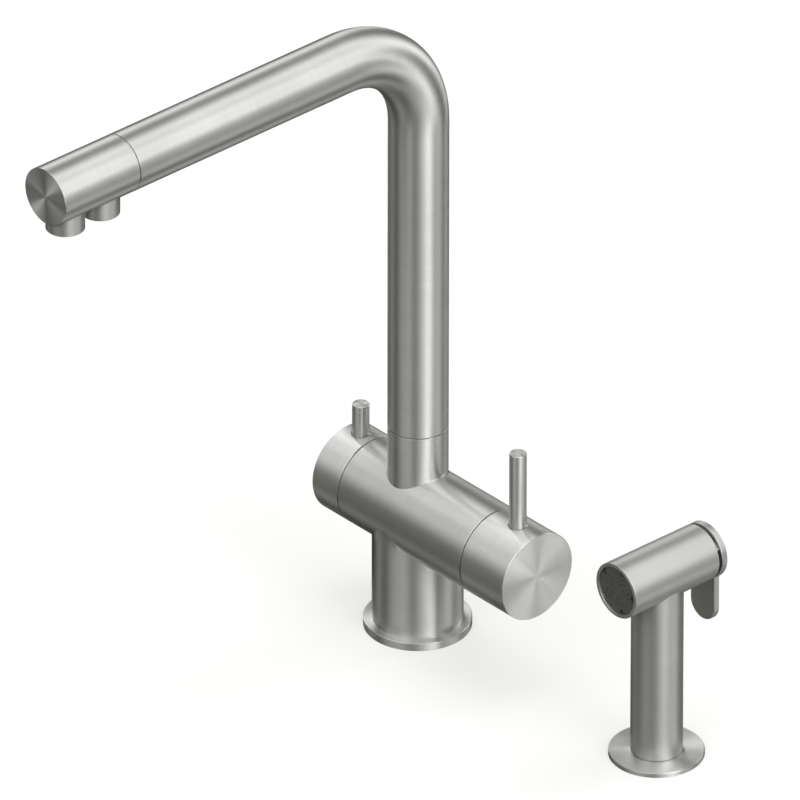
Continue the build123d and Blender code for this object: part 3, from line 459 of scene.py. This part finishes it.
LIP_R, LIP_WALL, LIP_REACH = 18.8, 0.8, 2.0


def barrel_skin(low, high, centre_x, top_hole, bottom_hole):
    """The barrel's outside from x = low to high, with an opening on top and one below.

    Each half runs from the top line or the top opening's edge down to the bottom one: x is the
    mean of the two edges' x, and the angle from the top is the mean of the edges' angles, both
    weighted by how far down the point is. An opening's edge is centre + (a cos t, b sin t).
    """
    turn = np.linspace(np.pi, 0, ROUND // 2 + 1)
    lead = np.linspace(0, 1, LEAD_STEPS + 1)[:-1]

    def edge(hole):
        """x and angle from the nearer line, along an opening's edge and the straight runs."""
        reach, half = hole
        left = low + (centre_x - reach - low) * lead
        right = high + (centre_x + reach - high) * lead[::-1]
        x = np.concatenate([left, centre_x + reach * np.cos(turn), right])
        y = np.concatenate([left * 0, half * np.sin(turn), right * 0])
        return x, np.arcsin(y / BARREL_R)

    top_x, top_turn = edge(top_hole)
    bottom_x, bottom_turn = edge(bottom_hole)
    down = np.linspace(0, 1, ROUND // 2 + 1)[:, None]
    x = (1 - down) * top_x + down * bottom_x
    tilt = (1 - down) * top_turn + down * (np.pi - bottom_turn)
    halves = []
    for side in (1, -1):
        points = np.stack(
            [x, side * BARREL_R * np.sin(tilt), BARREL_Z + BARREL_R * np.cos(tilt)], axis=-1
        )
        brushing = np.stack([side * BARREL_R * tilt, x], axis=-1)
        halves.append((points[:, ::side], brushing[:, ::side]))
    return halves


def upright_wall(radius, foot, top, rows=WALL_ROWS, centre=(0.0, 0.0)):
    """A round upright wall between two heights, each a number or one height per angle."""
    turn = np.linspace(0, 2 * np.pi, ROUND + 1)
    rise = np.linspace(0, 1, rows)[:, None]
    height = (1 - rise) * foot + rise * top + turn * 0
    level = np.ones((rows, 1))
    points = np.stack(
        [
            centre[0] + level * radius * np.cos(turn),
            centre[1] + level * radius * np.sin(turn),
            height,
        ],
        axis=-1,
    )
    return points, np.stack([level * radius * turn, height], axis=-1)


# The neck's fillet is the trace of a ball that rolls round the neck on the barrel: its
# middle stays NECK_FILLET off both, and the arc swings from the barrel's side to the neck's
full_turn = np.linspace(0, 2 * np.pi, ROUND + 1)
ball = NECK_R + NECK_FILLET
ball_y = ball * np.sin(full_turn)
ball_rise = np.sqrt((BARREL_R + NECK_FILLET) ** 2 - ball_y**2)
ball_centre = np.stack([ball * np.cos(full_turn), ball_y, BARREL_Z + ball_rise], axis=-1)
to_neck = -np.stack([np.cos(full_turn), np.sin(full_turn), full_turn * 0], axis=-1)
to_barrel = -np.stack([full_turn * 0, ball_y, ball_rise], axis=-1) / (BARREL_R + NECK_FILLET)
swing = np.arccos(np.sum(to_neck * to_barrel, axis=-1))[:, None]
share = np.linspace(0, 1, FILLET_ROWS)[:, None, None]
rolling = np.sin((1 - share) * swing) * to_barrel + np.sin(share * swing) * to_neck
rolling = rolling / np.sin(swing)
fillet_points = ball_centre + NECK_FILLET * rolling
fillet_map = np.stack(np.broadcast_arrays(full_turn * NECK_R, fillet_points[..., 2]), axis=-1)

column_top = BARREL_Z - np.sqrt(BARREL_R**2 - (COLUMN_R * np.sin(full_turn)) ** 2)
foot_profile = [(0, 0), (SPIGOT_R, 0), (SPIGOT_R, FLANGE_T), (COLUMN_R, FLANGE_T)]
neck_end = rounded(
    [
        (NECK_R, NECK_TOP - NECK_RIM, 0),
        (NECK_R, NECK_TOP, SEAM_EDGE),
        (NECK_BORE_R, NECK_TOP, 0),
        (NECK_BORE_R, NECK_FLOOR, 0),
        (0, NECK_FLOOR, 0),
    ]
)
chamber_end = rounded(
    [
        (BARREL_R, BARREL_RIGHT - RIM, 0),
        (BARREL_R, BARREL_RIGHT, KNOB_SEAM_EDGE),
        (LIP_R, BARREL_RIGHT, 0),
        (LIP_R, BARREL_RIGHT + LIP_REACH, 0),
        (CHAMBER_R, BARREL_RIGHT + LIP_REACH, 0),
        (CHAMBER_R, CHAMBER_FLOOR, 0),
        (0, CHAMBER_FLOOR, 0),
    ]
)
filter_end = rounded(
    [
        (BARREL_R, BARREL_LEFT - RIM, 0),
        (BARREL_R, BARREL_LEFT, KNOB_SEAM_EDGE),
        (LIP_R, BARREL_LEFT, 0),
        (LIP_R, BARREL_LEFT + LIP_REACH, 0),
        (LIP_R - LIP_WALL, BARREL_LEFT + LIP_REACH, 0),
        (LIP_R - LIP_WALL, BARREL_LEFT, 0),
        (FILTER_BORE_R, BARREL_LEFT, 0),
        (FILTER_BORE_R, FILTER_FLOOR, 0),
        (0, FILTER_FLOOR, 0),
    ]
)
barrel_axis = np.array([0, 0, BARREL_Z])
body_grids = barrel_skin(
    RIM - BARREL_LEFT,
    BARREL_RIGHT - RIM,
    0.0,
    (ball, ball * BARREL_R / (BARREL_R + NECK_FILLET)),
    (COLUMN_R, COLUMN_R),
)
body_grids += [
    turned(foot_profile),
    upright_wall(COLUMN_R, FLANGE_T, column_top),
    (fillet_points, fillet_map),
    upright_wall(NECK_R, BARREL_Z + ball_rise, NECK_TOP - NECK_RIM),
    turned(neck_end),
    turned(chamber_end, (barrel_axis, X, Z)),
    turned(filter_end, (barrel_axis, -X, Z)),
]
finish_piece("valve_casting", body_grids, satin_steel, "stainless", "faucet_base", "valve_body")

# ---------------------------------------------------------------------------
# Spout: one length of drawn steel tube, bent once through a right angle and
# brushed round its whole length. It stands on the neck with a fine seam.
# ---------------------------------------------------------------------------
SPOUT_R, SPOUT_BORE_R, SPOUT_BOTTOM = 14.0, 12.5, 106.65
ARM_Z, BEND_R, ARM_SEAM, FINE_SEAM = 316.0, 48.0, 179.5, 0.5


def spout_line(run):
    """The spout's centre line and its direction, at a run from its lower end.

    It goes straight up, then round a quarter circle towards -Y, then straight along -Y.
    """
    rise = ARM_Z - BEND_R - SPOUT_BOTTOM
    bend = BEND_R * np.pi / 2
    turn = np.clip((run - rise) / BEND_R, 0, np.pi / 2)
    height = SPOUT_BOTTOM + np.clip(run, 0, rise) + BEND_R * np.sin(turn)
    reach = BEND_R * (1 - np.cos(turn)) + np.clip(run - rise - bend, 0, None)
    zero = run * 0
    centre = np.stack([zero, -reach, height], axis=-1)
    return centre, np.stack([zero, -np.sin(turn), np.cos(turn)], axis=-1)


BEVEL = 0.3  # where a broken edge's middle row lies, as a share of the edge
END_STEP, FIRST_STEP = 0.4, 5.0  # mm: rows that keep the tube straight next to its ends
STRAIGHT_ROWS, BEND_STEPS = 12, 48  # rows of points along each straight run, steps in the bend
spout_rise = ARM_Z - BEND_R - SPOUT_BOTTOM
spout_length = spout_rise + BEND_R * np.pi / 2 + ARM_SEAM - FINE_SEAM / 2 - BEND_R
arm_start = spout_length - ARM_SEAM + BEND_R
spout_runs = np.concatenate(
    [
        [0, 0, SEAM_EDGE * BEVEL, SEAM_EDGE, END_STEP],
        np.linspace(FIRST_STEP, spout_rise, STRAIGHT_ROWS),
        spout_rise + np.linspace(0, BEND_R * np.pi / 2, BEND_STEPS + 1)[1:],
        np.linspace(arm_start, spout_length - FIRST_STEP, STRAIGHT_ROWS)[1:],
        spout_length - np.array([END_STEP, SEAM_EDGE, SEAM_EDGE * BEVEL, 0, 0]),
    ]
)
spout_radii = np.full_like(spout_runs, SPOUT_R)
spout_radii[[0, -1]] = SPOUT_BORE_R
spout_radii[[1, -2]] = SPOUT_R - SEAM_EDGE
spout_radii[[2, -3]] = SPOUT_R - SEAM_EDGE * BEVEL
spout_runs = np.concatenate([spout_runs, spout_runs[::-1][1:]])
spout_radii = np.concatenate([spout_radii, np.full(len(spout_radii) - 1, SPOUT_BORE_R)])
spout_centre, spout_ahead = spout_line(spout_runs)
spout_side = np.cross(spout_ahead, X)
spout_ring = (
    np.cos(full_turn)[:, None] * X + np.sin(full_turn)[:, None] * spout_side[:, None, :]
)
spout_points = spout_centre[:, None, :] + spout_radii[:, None, None] * spout_ring
spout_map = np.stack(np.meshgrid(full_turn * SPOUT_R, spout_runs), axis=-1)
finish_piece(
    "spout_bent_tube",
    [(spout_points, spout_map)],
    satin_steel,
    "stainless",
    "spout",
    "spout_tube",
)

# ---------------------------------------------------------------------------
# Outlet head: a turned steel cap with a closed end, spigoted into the arm with
# a hairline seam. Two short collars are brazed under it, one for mixed water
# and one for filtered water.
# ---------------------------------------------------------------------------
ARM_REACH, OUTLET_SPIGOT, SPIGOT_WALL, END_WALL = 224.3, 8.0, 1.2, 3.0
MIXED_OUTLET_Y, FILTERED_OUTLET_Y = 212.5, 191.6
COLLAR_R, COLLAR_BOTTOM_Z, INSERT_R, INSERT_T = 9.0, 295.6, 7.72, 5.6
COLLAR_EDGE, COLLAR_RIM = 0.25, 1.5  # mm: broken edge of a collar, and where its wall starts
EMBED = 0.3  # mm: how far a collar's top runs into the round surface above it

cap_start = ARM_SEAM + FINE_SEAM / 2
cap_length = ARM_REACH - cap_start
cap_profile = rounded(
    [
        (0, cap_length - END_WALL, 0),
        (SPOUT_BORE_R - SPIGOT_WALL, cap_length - END_WALL, 0),
        (SPOUT_BORE_R - SPIGOT_WALL, -OUTLET_SPIGOT, 0),
        (SPOUT_BORE_R - FIT, -OUTLET_SPIGOT, 0),
        (SPOUT_BORE_R - FIT, 0, 0),
        (SPOUT_R, 0, SEAM_EDGE),
        (SPOUT_R, cap_length, EDGE),
        (0, cap_length, 0),
    ]
)
cap_place = (np.array([0, -cap_start, ARM_Z]), -Y, X)
finish_piece(
    "arm_end_cap",
    [turned(cap_profile, cap_place)],
    satin_steel,
    "stainless",
    "spout",
    "outlet_head",
)


# the same steel brushed with a finer, worn cloth: softer bands with less contrast
fine_satin_steel = brushed_steel(
    "fine_satin_stainless", "#c0c0be", roughness=0.5, spread=0.6, lines=0.02
)


def saddle(radius, across_r, axis_height):
    """Height, per angle, where an upright wall meets a round bar above it that lies along Y."""
    return axis_height - np.sqrt(across_r**2 - (radius * np.cos(full_turn)) ** 2)


def lid(radius, across_r, axis_height, centre, rows=WALL_ROWS):
    """The bar's underside inside that wall, which closes the wall's top."""
    reach = np.linspace(radius, 0, rows)[:, None]
    x = reach * np.cos(full_turn)
    y = reach * np.sin(full_turn)
    height = axis_height - np.sqrt(across_r**2 - x**2)
    points = np.stack([centre[0] + x, centre[1] + y, height], axis=-1)
    return points, np.stack([x, y], axis=-1)


def outlet_collar(name, outlet_y, node):
    """A collar: recess for its insert, broken rim, and a wall that meets the cap's underside."""
    centre = (0.0, -outlet_y)
    rim = rounded(
        [
            (0, COLLAR_BOTTOM_Z + INSERT_T, 0),
            (INSERT_R, COLLAR_BOTTOM_Z + INSERT_T, 0),
            (INSERT_R, COLLAR_BOTTOM_Z, SEAM_EDGE),
            (COLLAR_R, COLLAR_BOTTOM_Z, COLLAR_EDGE),
            (COLLAR_R, COLLAR_BOTTOM_Z + COLLAR_RIM, 0),
        ]
    )
    top = saddle(COLLAR_R, SPOUT_R, ARM_Z + EMBED)
    grids = [
        turned(rim, (np.array([*centre, 0.0]), Z, X)),
        upright_wall(COLLAR_R, COLLAR_BOTTOM_Z + COLLAR_RIM, top, rows=5, centre=centre),
        lid(COLLAR_R, SPOUT_R, ARM_Z + EMBED, centre),
    ]
    return finish_piece(name, grids, fine_satin_steel, "stainless", "spout", node)


outlet_collar("mixed_water_collar", MIXED_OUTLET_Y, "mixed_collar")
outlet_collar("filtered_water_collar", FILTERED_OUTLET_Y, "filtered_collar")

# ---------------------------------------------------------------------------
# Knobs: turned steel caps the size of the barrel, each with an upright pin as
# its lever. A ring is sunk round the pin, and a grub screw hole is drilled below.
# ---------------------------------------------------------------------------
PIN_R, PIN_RING, PIN_RING_DEPTH, GRUB_R, GRUB_DEPTH = 4.0, 0.5, 1.0, 2.52, 12.0
KNOB_WALL = 2.5
PIN_ROUND = 64  # faces round a pin
# the same steel with its colour painted a little brighter: a painted highlight for the bright star
# that the knobs' turned ends catch
painted_highlight_stainless = brushed_steel(
    "painted_highlight_stainless", "#dadad9", roughness=0.42, spread=0.95, lines=0.03
)


def turned_knob(name, start, end, cavity, pin_x, seat, side, body, node):
    """A knob: skin with two openings, broken rims, hollow back, sunk ring and screw hole.

    start, end and pin_x are distances from the column's axis, and cavity is the depth of the
    hollow back. seat is the height of the pin's foot, and side is 1 at the right, -1 at the left.
    """
    low, high = (start + RIM, end - RIM) if side > 0 else (RIM - end, -start - RIM)
    ring_r = PIN_R + PIN_RING
    grids = barrel_skin(low, high, side * pin_x, (ring_r, ring_r), (GRUB_R, GRUB_R))
    face = rounded([(BARREL_R, end - RIM, 0), (BARREL_R, end, EDGE), (0, end, 0)])
    back = rounded(
        [
            (BARREL_R, -start - RIM, 0),
            (BARREL_R, -start, KNOB_SEAM_EDGE),
            (BARREL_R - KNOB_WALL, -start, 0),
            (BARREL_R - KNOB_WALL, -start - cavity, 0),
            (0, -start - cavity, 0),
        ]
    )
    grids.append(turned(face, (barrel_axis, side * X, Z)))
    grids.append(turned(back, (barrel_axis, -side * X, Z)))
    pin_centre = (side * pin_x, 0.0)
    ring_floor = BARREL_Z + BARREL_R - PIN_RING_DEPTH
    ring_top = BARREL_Z + np.sqrt(BARREL_R**2 - (ring_r * np.sin(full_turn)) ** 2)
    points, brushing = upright_wall(ring_r, ring_floor, ring_top, rows=3, centre=pin_centre)
    grids.append((points[::-1], brushing[::-1]))
    well = [(ring_r, ring_floor), (PIN_R + FIT, ring_floor), (PIN_R + FIT, seat), (0, seat)]
    grids.append(turned(well, (np.array([*pin_centre, 0.0]), Z, X)))
    mouth = BARREL_Z - np.sqrt(BARREL_R**2 - (GRUB_R * np.sin(full_turn)) ** 2)
    screw_top = BARREL_Z - BARREL_R + GRUB_DEPTH
    points, brushing = upright_wall(GRUB_R, mouth, screw_top, rows=3, centre=pin_centre)
    grids.append((points[:, ::-1], brushing[:, ::-1]))
    stop = [(GRUB_R, -screw_top), (0, -screw_top)]
    stop_points, stop_map = turned(stop, (np.array([*pin_centre, 0.0]), -Z, X))
    grids.append((stop_points[::-1], stop_map[::-1]))
    # the knob takes the steel painted brighter, a painted highlight
    return finish_piece(name, grids, painted_highlight_stainless, "stainless", body, node)


def lever_pin(name, pin_x, top, foot, body, node):
    """A round pin with a broken upper edge."""
    profile = rounded([(0, foot, 0), (PIN_R, foot, 0), (PIN_R, top, EDGE), (0, top, 0)])
    place = (np.array([pin_x, 0.0, 0.0]), Z, X)
    pin = [turned(profile, place, PIN_ROUND)]
    return finish_piece(name, pin, satin_steel, "stainless", body, node)


MIXER_START, MIXER_END, MIXER_CAVITY, MIXER_PIN_X, MIXER_SEAT = 53.2, 81.5, 7.0, 68.3, 69.0
FILTER_START, FILTER_END, FILTER_CAVITY, FILTER_PIN_X, FILTER_SEAT = 31.4, 48.4, 2.5, 39.2, 68.0
MIXER_PIN_TOP, FILTER_PIN_TOP = 121.9, 99.3
turned_knob(
    "mixer_turned_knob",
    MIXER_START,
    MIXER_END,
    MIXER_CAVITY,
    MIXER_PIN_X,
    MIXER_SEAT,
    1,
    "mixer_handle",
    "mixer_knob",
)
lever_pin("mixer_pin", MIXER_PIN_X, MIXER_PIN_TOP, MIXER_SEAT, "mixer_handle", "mixer_lever")
turned_knob(
    "filter_turned_knob",
    FILTER_START,
    FILTER_END,
    FILTER_CAVITY,
    FILTER_PIN_X,
    FILTER_SEAT,
    -1,
    "filter_handle",
    "filter_knob",
)
lever_pin("filter_pin", -FILTER_PIN_X, FILTER_PIN_TOP, FILTER_SEAT, "filter_handle", "filter_lever")

# ---------------------------------------------------------------------------
# Spray holder: flange and hollow spigot turned in one piece, on its own hole
# in the deck. A plastic bush on the spigot lets the hand spray turn and lift.
# ---------------------------------------------------------------------------
SPRAY = np.array([155.9, 6.5, 0.0])
HOLDER_R, HOLDER_T, HOLDER_SPIGOT_R, HOLDER_TOP, HOSE_WAY_R = 22.0, 2.3, 9.5, 24.0, 7.75
HOLDER_GASKET_IN_R, HOLDER_GASKET_OUT_R, HOLDER_GASKET_T = 16.02, 20.0, 0.8
HOLDER_TOP_EDGE = 0.3
holder_profile = rounded(
    [
        (HOSE_WAY_R, HOLDER_TOP, 0),
        (HOSE_WAY_R, 0, 0),
        (HOLDER_GASKET_IN_R, 0, 0),
        (HOLDER_GASKET_IN_R, HOLDER_GASKET_T, 0),
        (HOLDER_GASKET_OUT_R, HOLDER_GASKET_T, 0),
        (HOLDER_GASKET_OUT_R, 0, 0),
        (HOLDER_R, 0, FOOT_EDGE),
        (HOLDER_R, HOLDER_T, EDGE),
        (HOLDER_SPIGOT_R, HOLDER_T, 0),
        (HOLDER_SPIGOT_R, HOLDER_TOP, HOLDER_TOP_EDGE),
        (HOSE_WAY_R, HOLDER_TOP, 0),
    ]
)
finish_piece(
    "spray_deck_holder",
    [turned(holder_profile, (SPRAY, Z, X))],
    satin_steel,
    "stainless",
    "faucet_base",
    "spray_holder",
)

# ---------------------------------------------------------------------------
# Hand spray: an upright steel tube brazed to the underside of a turned barrel.
# The barrel is bored from the front for the valve and the nozzle plate, with a
# small hole behind for the plunger's rod. Two ears at the back carry the hinge pin.
# ---------------------------------------------------------------------------
HANDLE_R, HANDLE_BORE_R, HANDLE_FOOT, HANDLE_LID = 12.0, 10.4, 2.6, 60.0
HANDLE_IN_EDGE, HANDLE_OUT_EDGE, HANDLE_RIM = 0.1, 0.2, 2.0
HEAD_Z, HEAD_R, HEAD_BORE_R, HEAD_FRONT, HEAD_REAR = 96.4, 13.5, 11.7, 25.3, 25.8
MOUTH_BEVEL, HEAD_FLOOR, ROD_HOLE_R, PLUNGER_DROP = 0.3, 23.2, 2.3, 5.5
spray_xy = (SPRAY[0], SPRAY[1])
handle_foot = rounded(
    [
        (0, HANDLE_LID, 0),
        (HANDLE_BORE_R, HANDLE_LID, 0),
        (HANDLE_BORE_R, HANDLE_FOOT, HANDLE_IN_EDGE),
        (HANDLE_R, HANDLE_FOOT, HANDLE_OUT_EDGE),
        (HANDLE_R, HANDLE_FOOT + HANDLE_RIM, 0),
    ]
)
handle_top = saddle(HANDLE_R, HEAD_R, HEAD_Z + EMBED)
handle_grids = [
    turned(handle_foot, (SPRAY, Z, X)),
    upright_wall(HANDLE_R, HANDLE_FOOT + HANDLE_RIM, handle_top, centre=spray_xy),
    lid(HANDLE_R, HEAD_R, HEAD_Z + EMBED, spray_xy),
]
finish_piece(
    "spray_upright_tube",
    handle_grids,
    fine_satin_steel,
    "stainless",
    "hand_spray",
    "spray_handle",
)

HEAD_CENTRE = SPRAY + np.array([0, 0, HEAD_Z])
HINGE_Y, HINGE_RISE, KNUCKLE_R, EAR_IN, EAR_OUT = 26.65, 6.0, 1.7, 7.8, 10.2
KNUCKLE_EDGE, KNUCKLE_ROUND = 0.1, 48  # mm: broken edge of a knuckle, and faces round it
head_profile = rounded(
    [
        (HEAD_BORE_R, HEAD_FLOOR, 0),
        (HEAD_BORE_R, -HEAD_FRONT, MOUTH_BEVEL),
        (HEAD_R, -HEAD_FRONT, EDGE),
        (HEAD_R, HEAD_REAR, EDGE),
        (ROD_HOLE_R, HEAD_REAR, 0),
        (ROD_HOLE_R, HEAD_FLOOR, 0),
        (HEAD_BORE_R, HEAD_FLOOR, 0),
    ]
)
head_points, head_map = turned(head_profile, (HEAD_CENTRE, Y, X))
head_points[-3:-1, :, 2] -= PLUNGER_DROP  # the hole for the plunger's rod lies below the axis
hinge_centre = HEAD_CENTRE + np.array([0, HINGE_Y, HINGE_RISE])


def knuckle(low, high):
    """A short round bar on the hinge's axis, between two distances from the spray's axis."""
    low_end = [(0, low, 0), (KNUCKLE_R, low, KNUCKLE_EDGE)]
    high_end = [(KNUCKLE_R, high, KNUCKLE_EDGE), (0, high, 0)]
    profile = rounded(low_end + high_end, steps=3)
    return turned(profile, (hinge_centre, X, Z), KNUCKLE_ROUND)


head_grids = [(head_points, head_map)]
head_grids += [knuckle(EAR_IN, EAR_OUT), knuckle(-EAR_OUT, -EAR_IN)]
finish_piece(
    "spray_turned_head",
    head_grids,
    fine_satin_steel,
    "stainless",
    "hand_spray",
    "spray_head",
)

# ---------------------------------------------------------------------------
# Trigger: a round steel plate with a tab that hangs down behind the handle,
# cut from sheet, with broken edges and a knuckle on the hinge pin.
# ---------------------------------------------------------------------------
TRIGGER_FRONT, TRIGGER_T, TAB_HALF, TAB_DROP = 27.5, 3.2, 8.0, 35.9
KNUCKLE_PLAY = 0.3  # mm: gap between the plate's knuckle and each ear
FOOT_STEPS, SIDE_STEPS, DISC_STEPS = 16, 8, 96  # along half the tab's end, a side, the disc
FACE_ROWS = 6  # rows of points from near the rim to the hub, on a flat side


def trigger_outline(inset):
    """The plate's outline, drawn in from its edge by inset: disc, two straight sides, round end.

    It starts at the foot of the tab and runs up the right side, seen from behind.
    """
    disc_r, tab_r = HEAD_R - inset, TAB_HALF - inset
    end_z = TAB_HALF - TAB_DROP
    join = np.arccos(tab_r / disc_r)
    foot = np.linspace(-np.pi / 2, 0, FOOT_STEPS + 1)
    top = np.linspace(-join, np.pi + join, DISC_STEPS + 1)
    side_z = np.linspace(end_z, -disc_r * np.sin(join), SIDE_STEPS + 1)[1:-1]
    x = np.concatenate(
        [
            tab_r * np.cos(foot),
            side_z * 0 + tab_r,
            disc_r * np.cos(top),
            side_z * 0 - tab_r,
            -tab_r * np.cos(foot[::-1]),
        ]
    )
    z = np.concatenate(
        [
            end_z + tab_r * np.sin(foot),
            side_z,
            disc_r * np.sin(top),
            side_z[::-1],
            end_z + tab_r * np.sin(foot[::-1]),
        ]
    )
    return x, z


# how far the plate's rim is drawn in, at depths from its front to its back
plate_edge = [
    (EDGE, 0),
    (EDGE * BEVEL, EDGE * BEVEL),
    (0, EDGE),
    (0, EDGE + SUPPORT),
    (0, TRIGGER_T - EDGE - SUPPORT),
    (0, TRIGGER_T - EDGE),
    (EDGE * BEVEL, TRIGGER_T - EDGE * BEVEL),
    (EDGE, TRIGGER_T),
]
edge_rows = np.stack([np.stack(trigger_outline(inset), axis=-1) for inset, _ in plate_edge])
edge_depth = np.array([depth for _, depth in plate_edge], float)[:, None] + edge_rows[..., 0] * 0
edge_steps = np.hypot(*np.diff(edge_rows[3], axis=0).T)
edge_run = np.concatenate([[0], np.cumsum(edge_steps)]) + edge_depth * 0
hub = np.array([0.0, -12.0])  # every point of the outline can be seen from here


def trigger_grid(flat, depth, brushing):
    """A grid of the plate, set behind the head, from places on the plate and depths into it."""
    offset = np.stack([flat[..., 0], TRIGGER_FRONT + depth, flat[..., 1]], axis=-1)
    return HEAD_CENTRE + offset, brushing


def plate_face(row, depth):
    """A flat side of the plate: its outline shrunk towards the hub, brushed across."""
    inner = np.linspace(1 - SUPPORT / TAB_HALF, 0, FACE_ROWS)
    shrink = np.concatenate([[1], inner])[:, None, None]
    flat = hub + shrink * (row - hub)
    return trigger_grid(flat, flat[..., 0] * 0 + depth, flat)


edge_points, edge_map = trigger_grid(edge_rows, edge_depth, np.stack([edge_run, edge_depth], -1))
front_points, front_map = plate_face(edge_rows[0], 0)
back_points, back_map = plate_face(edge_rows[-1], TRIGGER_T)
trigger_grids = [
    (edge_points[:, ::-1], edge_map[:, ::-1]),
    (front_points, front_map),
    (back_points[:, ::-1], back_map[:, ::-1]),
    knuckle(KNUCKLE_PLAY - EAR_IN, EAR_IN - KNUCKLE_PLAY),
]
finish_piece(
    "trigger_plate",
    trigger_grids,
    fine_satin_steel,
    "stainless",
    "spray_trigger",
    "trigger",
)

# ---------------------------------------------------------------------------
# Pieces that stay as modelled, with the finish of their slot: turned steel
# screws and hinge pin, machined brass, lapped ceramic, moulded plastics and
# rubber. Most are inside. The nozzle plate and the outlet inserts show.
# ---------------------------------------------------------------------------
GRAIN_GLOSS, GRAIN_RELIEF = 0.05, 0.3


def plain_finish(name, colour, metallic, roughness, grain_size, depth, mottle):
    """A finish from object coordinates: fine mottling of colour and gloss, and a slight relief.

    grain_size and depth are in metres, and mottle is how much lighter and darker it gets.
    """
    finish = bpy.data.materials.new(name)
    finish.use_nodes = True
    tree = finish.node_tree
    tree.nodes.clear()
    place = add(tree, "ShaderNodeTexCoord").outputs["Object"]
    grain = add(
        tree,
        "ShaderNodeTexNoise",
        {"Vector": place, "Scale": 1 / grain_size, "Detail": 4.0, "Roughness": 0.6},
    )
    shade = add(
        tree,
        "ShaderNodeMapRange",
        {0: grain.outputs[0], 1: NOISE_LOW, 2: NOISE_HIGH, 3: 1 - mottle, 4: 1 + mottle},
    )
    tint = add(
        tree,
        "ShaderNodeVectorMath",
        {0: linear(colour)[:3], "Scale": shade.outputs[0]},
        operation="SCALE",
    )
    gloss = add(
        tree,
        "ShaderNodeMapRange",
        {
            0: grain.outputs[0],
            1: NOISE_LOW,
            2: NOISE_HIGH,
            3: roughness - GRAIN_GLOSS,
            4: roughness + GRAIN_GLOSS,
        },
    )
    relief = add(
        tree,
        "ShaderNodeBump",
        {"Height": grain.outputs[0], "Strength": GRAIN_RELIEF, "Distance": depth},
    )
    shader = add(
        tree,
        "ShaderNodeBsdfPrincipled",
        {
            "Base Color": tint.outputs[0],
            "Metallic": metallic,
            "Roughness": gloss.outputs[0],
            "Normal": relief.outputs[0],
        },
    )
    add(tree, "ShaderNodeOutputMaterial", {"Surface": shader.outputs[0]})
    return finish


# name, colour, metallic, roughness, grain size and depth in m, mottle
SLOT_FINISHES = {
    "stainless": satin_steel,
    # stainless screws, pin and spring wire: even grey, fine tool marks
    "steel_fastener": plain_finish("turned_steel", "#c8c8c6", 1.0, 0.3, 0.0006, 0.00002, 0.05),
    # leaded brass bar, machined and left bare: yellow, slightly dulled
    "brass": plain_finish("machined_brass", "#c9ab6a", 1.0, 0.32, 0.0008, 0.00002, 0.06),
    # lapped alumina: cream white, hard gloss
    "ceramic": plain_finish("lapped_alumina", "#eeece4", 0.0, 0.15, 0.0005, 0.000005, 0.02),
    # acetal, moulded: milky white, low sheen
    "white_plastic": plain_finish("moulded_acetal", "#e6e5e0", 0.0, 0.42, 0.0008, 0.00002, 0.03),
    # nitrile rubber, moulded: dull black
    "black_rubber": plain_finish("nitrile_rubber", "#1b1b1c", 0.0, 0.75, 0.0005, 0.00004, 0.15),
    # glass-filled nylon nozzle plate, spark-textured mould: dark warm grey, matt
    "dark_plastic": plain_finish(
        "textured_dark_nylon", "#52534f", 0.0, 0.6, 0.0007, 0.00005, 0.12
    ),
    # ABS inserts, moulded: mid grey, low sheen
    "grey_plastic": plain_finish("moulded_grey_abs", "#9a9a98", 0.0, 0.45, 0.0008, 0.00002, 0.05),
}
finish_of = {part["node"]: part["material_slot"] for part in frame["record"]["subparts"]}
for node_name, node in frame["nodes"].items():
    node.data.materials.clear()
    node.data.materials.append(SLOT_FINISHES[finish_of[node_name]])

# ---------------------------------------------------------------------------
# Plunger spring: round stainless wire wound in six open turns. It pushes the
# plunger back onto the valve's seat, which keeps the spray shut. The real spring
# shortens as the trigger presses the plunger in; this coil is built at rest, at one length.
# ---------------------------------------------------------------------------
SPRING_R, WIRE_R, SPRING_TURNS = 3.0, 0.35, 6
TURN_STEPS, WIRE_STEPS = 24, 12  # faces along each turn and round the wire
SEAT_Y, PLUNGER_HEAD_Y = -4.5, 8.3  # mm: the two faces that the spring pushes on


def coil(centre, low, high):
    """A wire of radius WIRE_R wound on a cylinder of radius SPRING_R along Y, with closed ends.

    Its centre line is centre + SPRING_R * (cos(a) * X + sin(a) * Z) + y * Y, where y rises
    evenly with a. Each ring lies across the line: line + r * (cos(b) * out + sin(b) * side),
    and r falls to 0 in one last ring at each end.
    """
    turn = np.linspace(0, 2 * np.pi * SPRING_TURNS, TURN_STEPS * SPRING_TURNS + 1)[:, None]
    out = np.cos(turn) * X + np.sin(turn) * Z
    line = centre + SPRING_R * out + np.linspace(low, high, len(turn))[:, None] * Y
    ahead = SPRING_R * (np.cos(turn) * Z - np.sin(turn) * X)
    ahead = ahead + (high - low) / (2 * np.pi * SPRING_TURNS) * Y
    side = np.cross(ahead / np.linalg.norm(ahead, axis=-1, keepdims=True), out)
    around = np.linspace(0, 2 * np.pi, WIRE_STEPS + 1)[:, None]
    ring = np.cos(around) * out[:, None, :] + np.sin(around) * side[:, None, :]
    points = line[:, None, :] + WIRE_R * ring
    ends = np.stack([points[0] * 0 + line[0], points[-1] * 0 + line[-1]])
    points = np.concatenate([ends[:1], points, ends[1:]])
    run = np.concatenate([[0], turn[:, 0], turn[-1]]) * SPRING_R
    return points, np.stack(np.meshgrid(around[:, 0] * WIRE_R, run), axis=-1)


spring_axis = np.array([HEAD_CENTRE[0], 0.0, HEAD_Z - PLUNGER_DROP])
margin = WIRE_R + FIT
spring_grid = coil(spring_axis, SEAT_Y + margin, PLUNGER_HEAD_Y - margin)
spring = place_mesh(build_mesh("plunger_coil", [spring_grid]), SLOT_FINISHES["steel_fastener"])
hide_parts("plunger_spring")
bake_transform(spring)
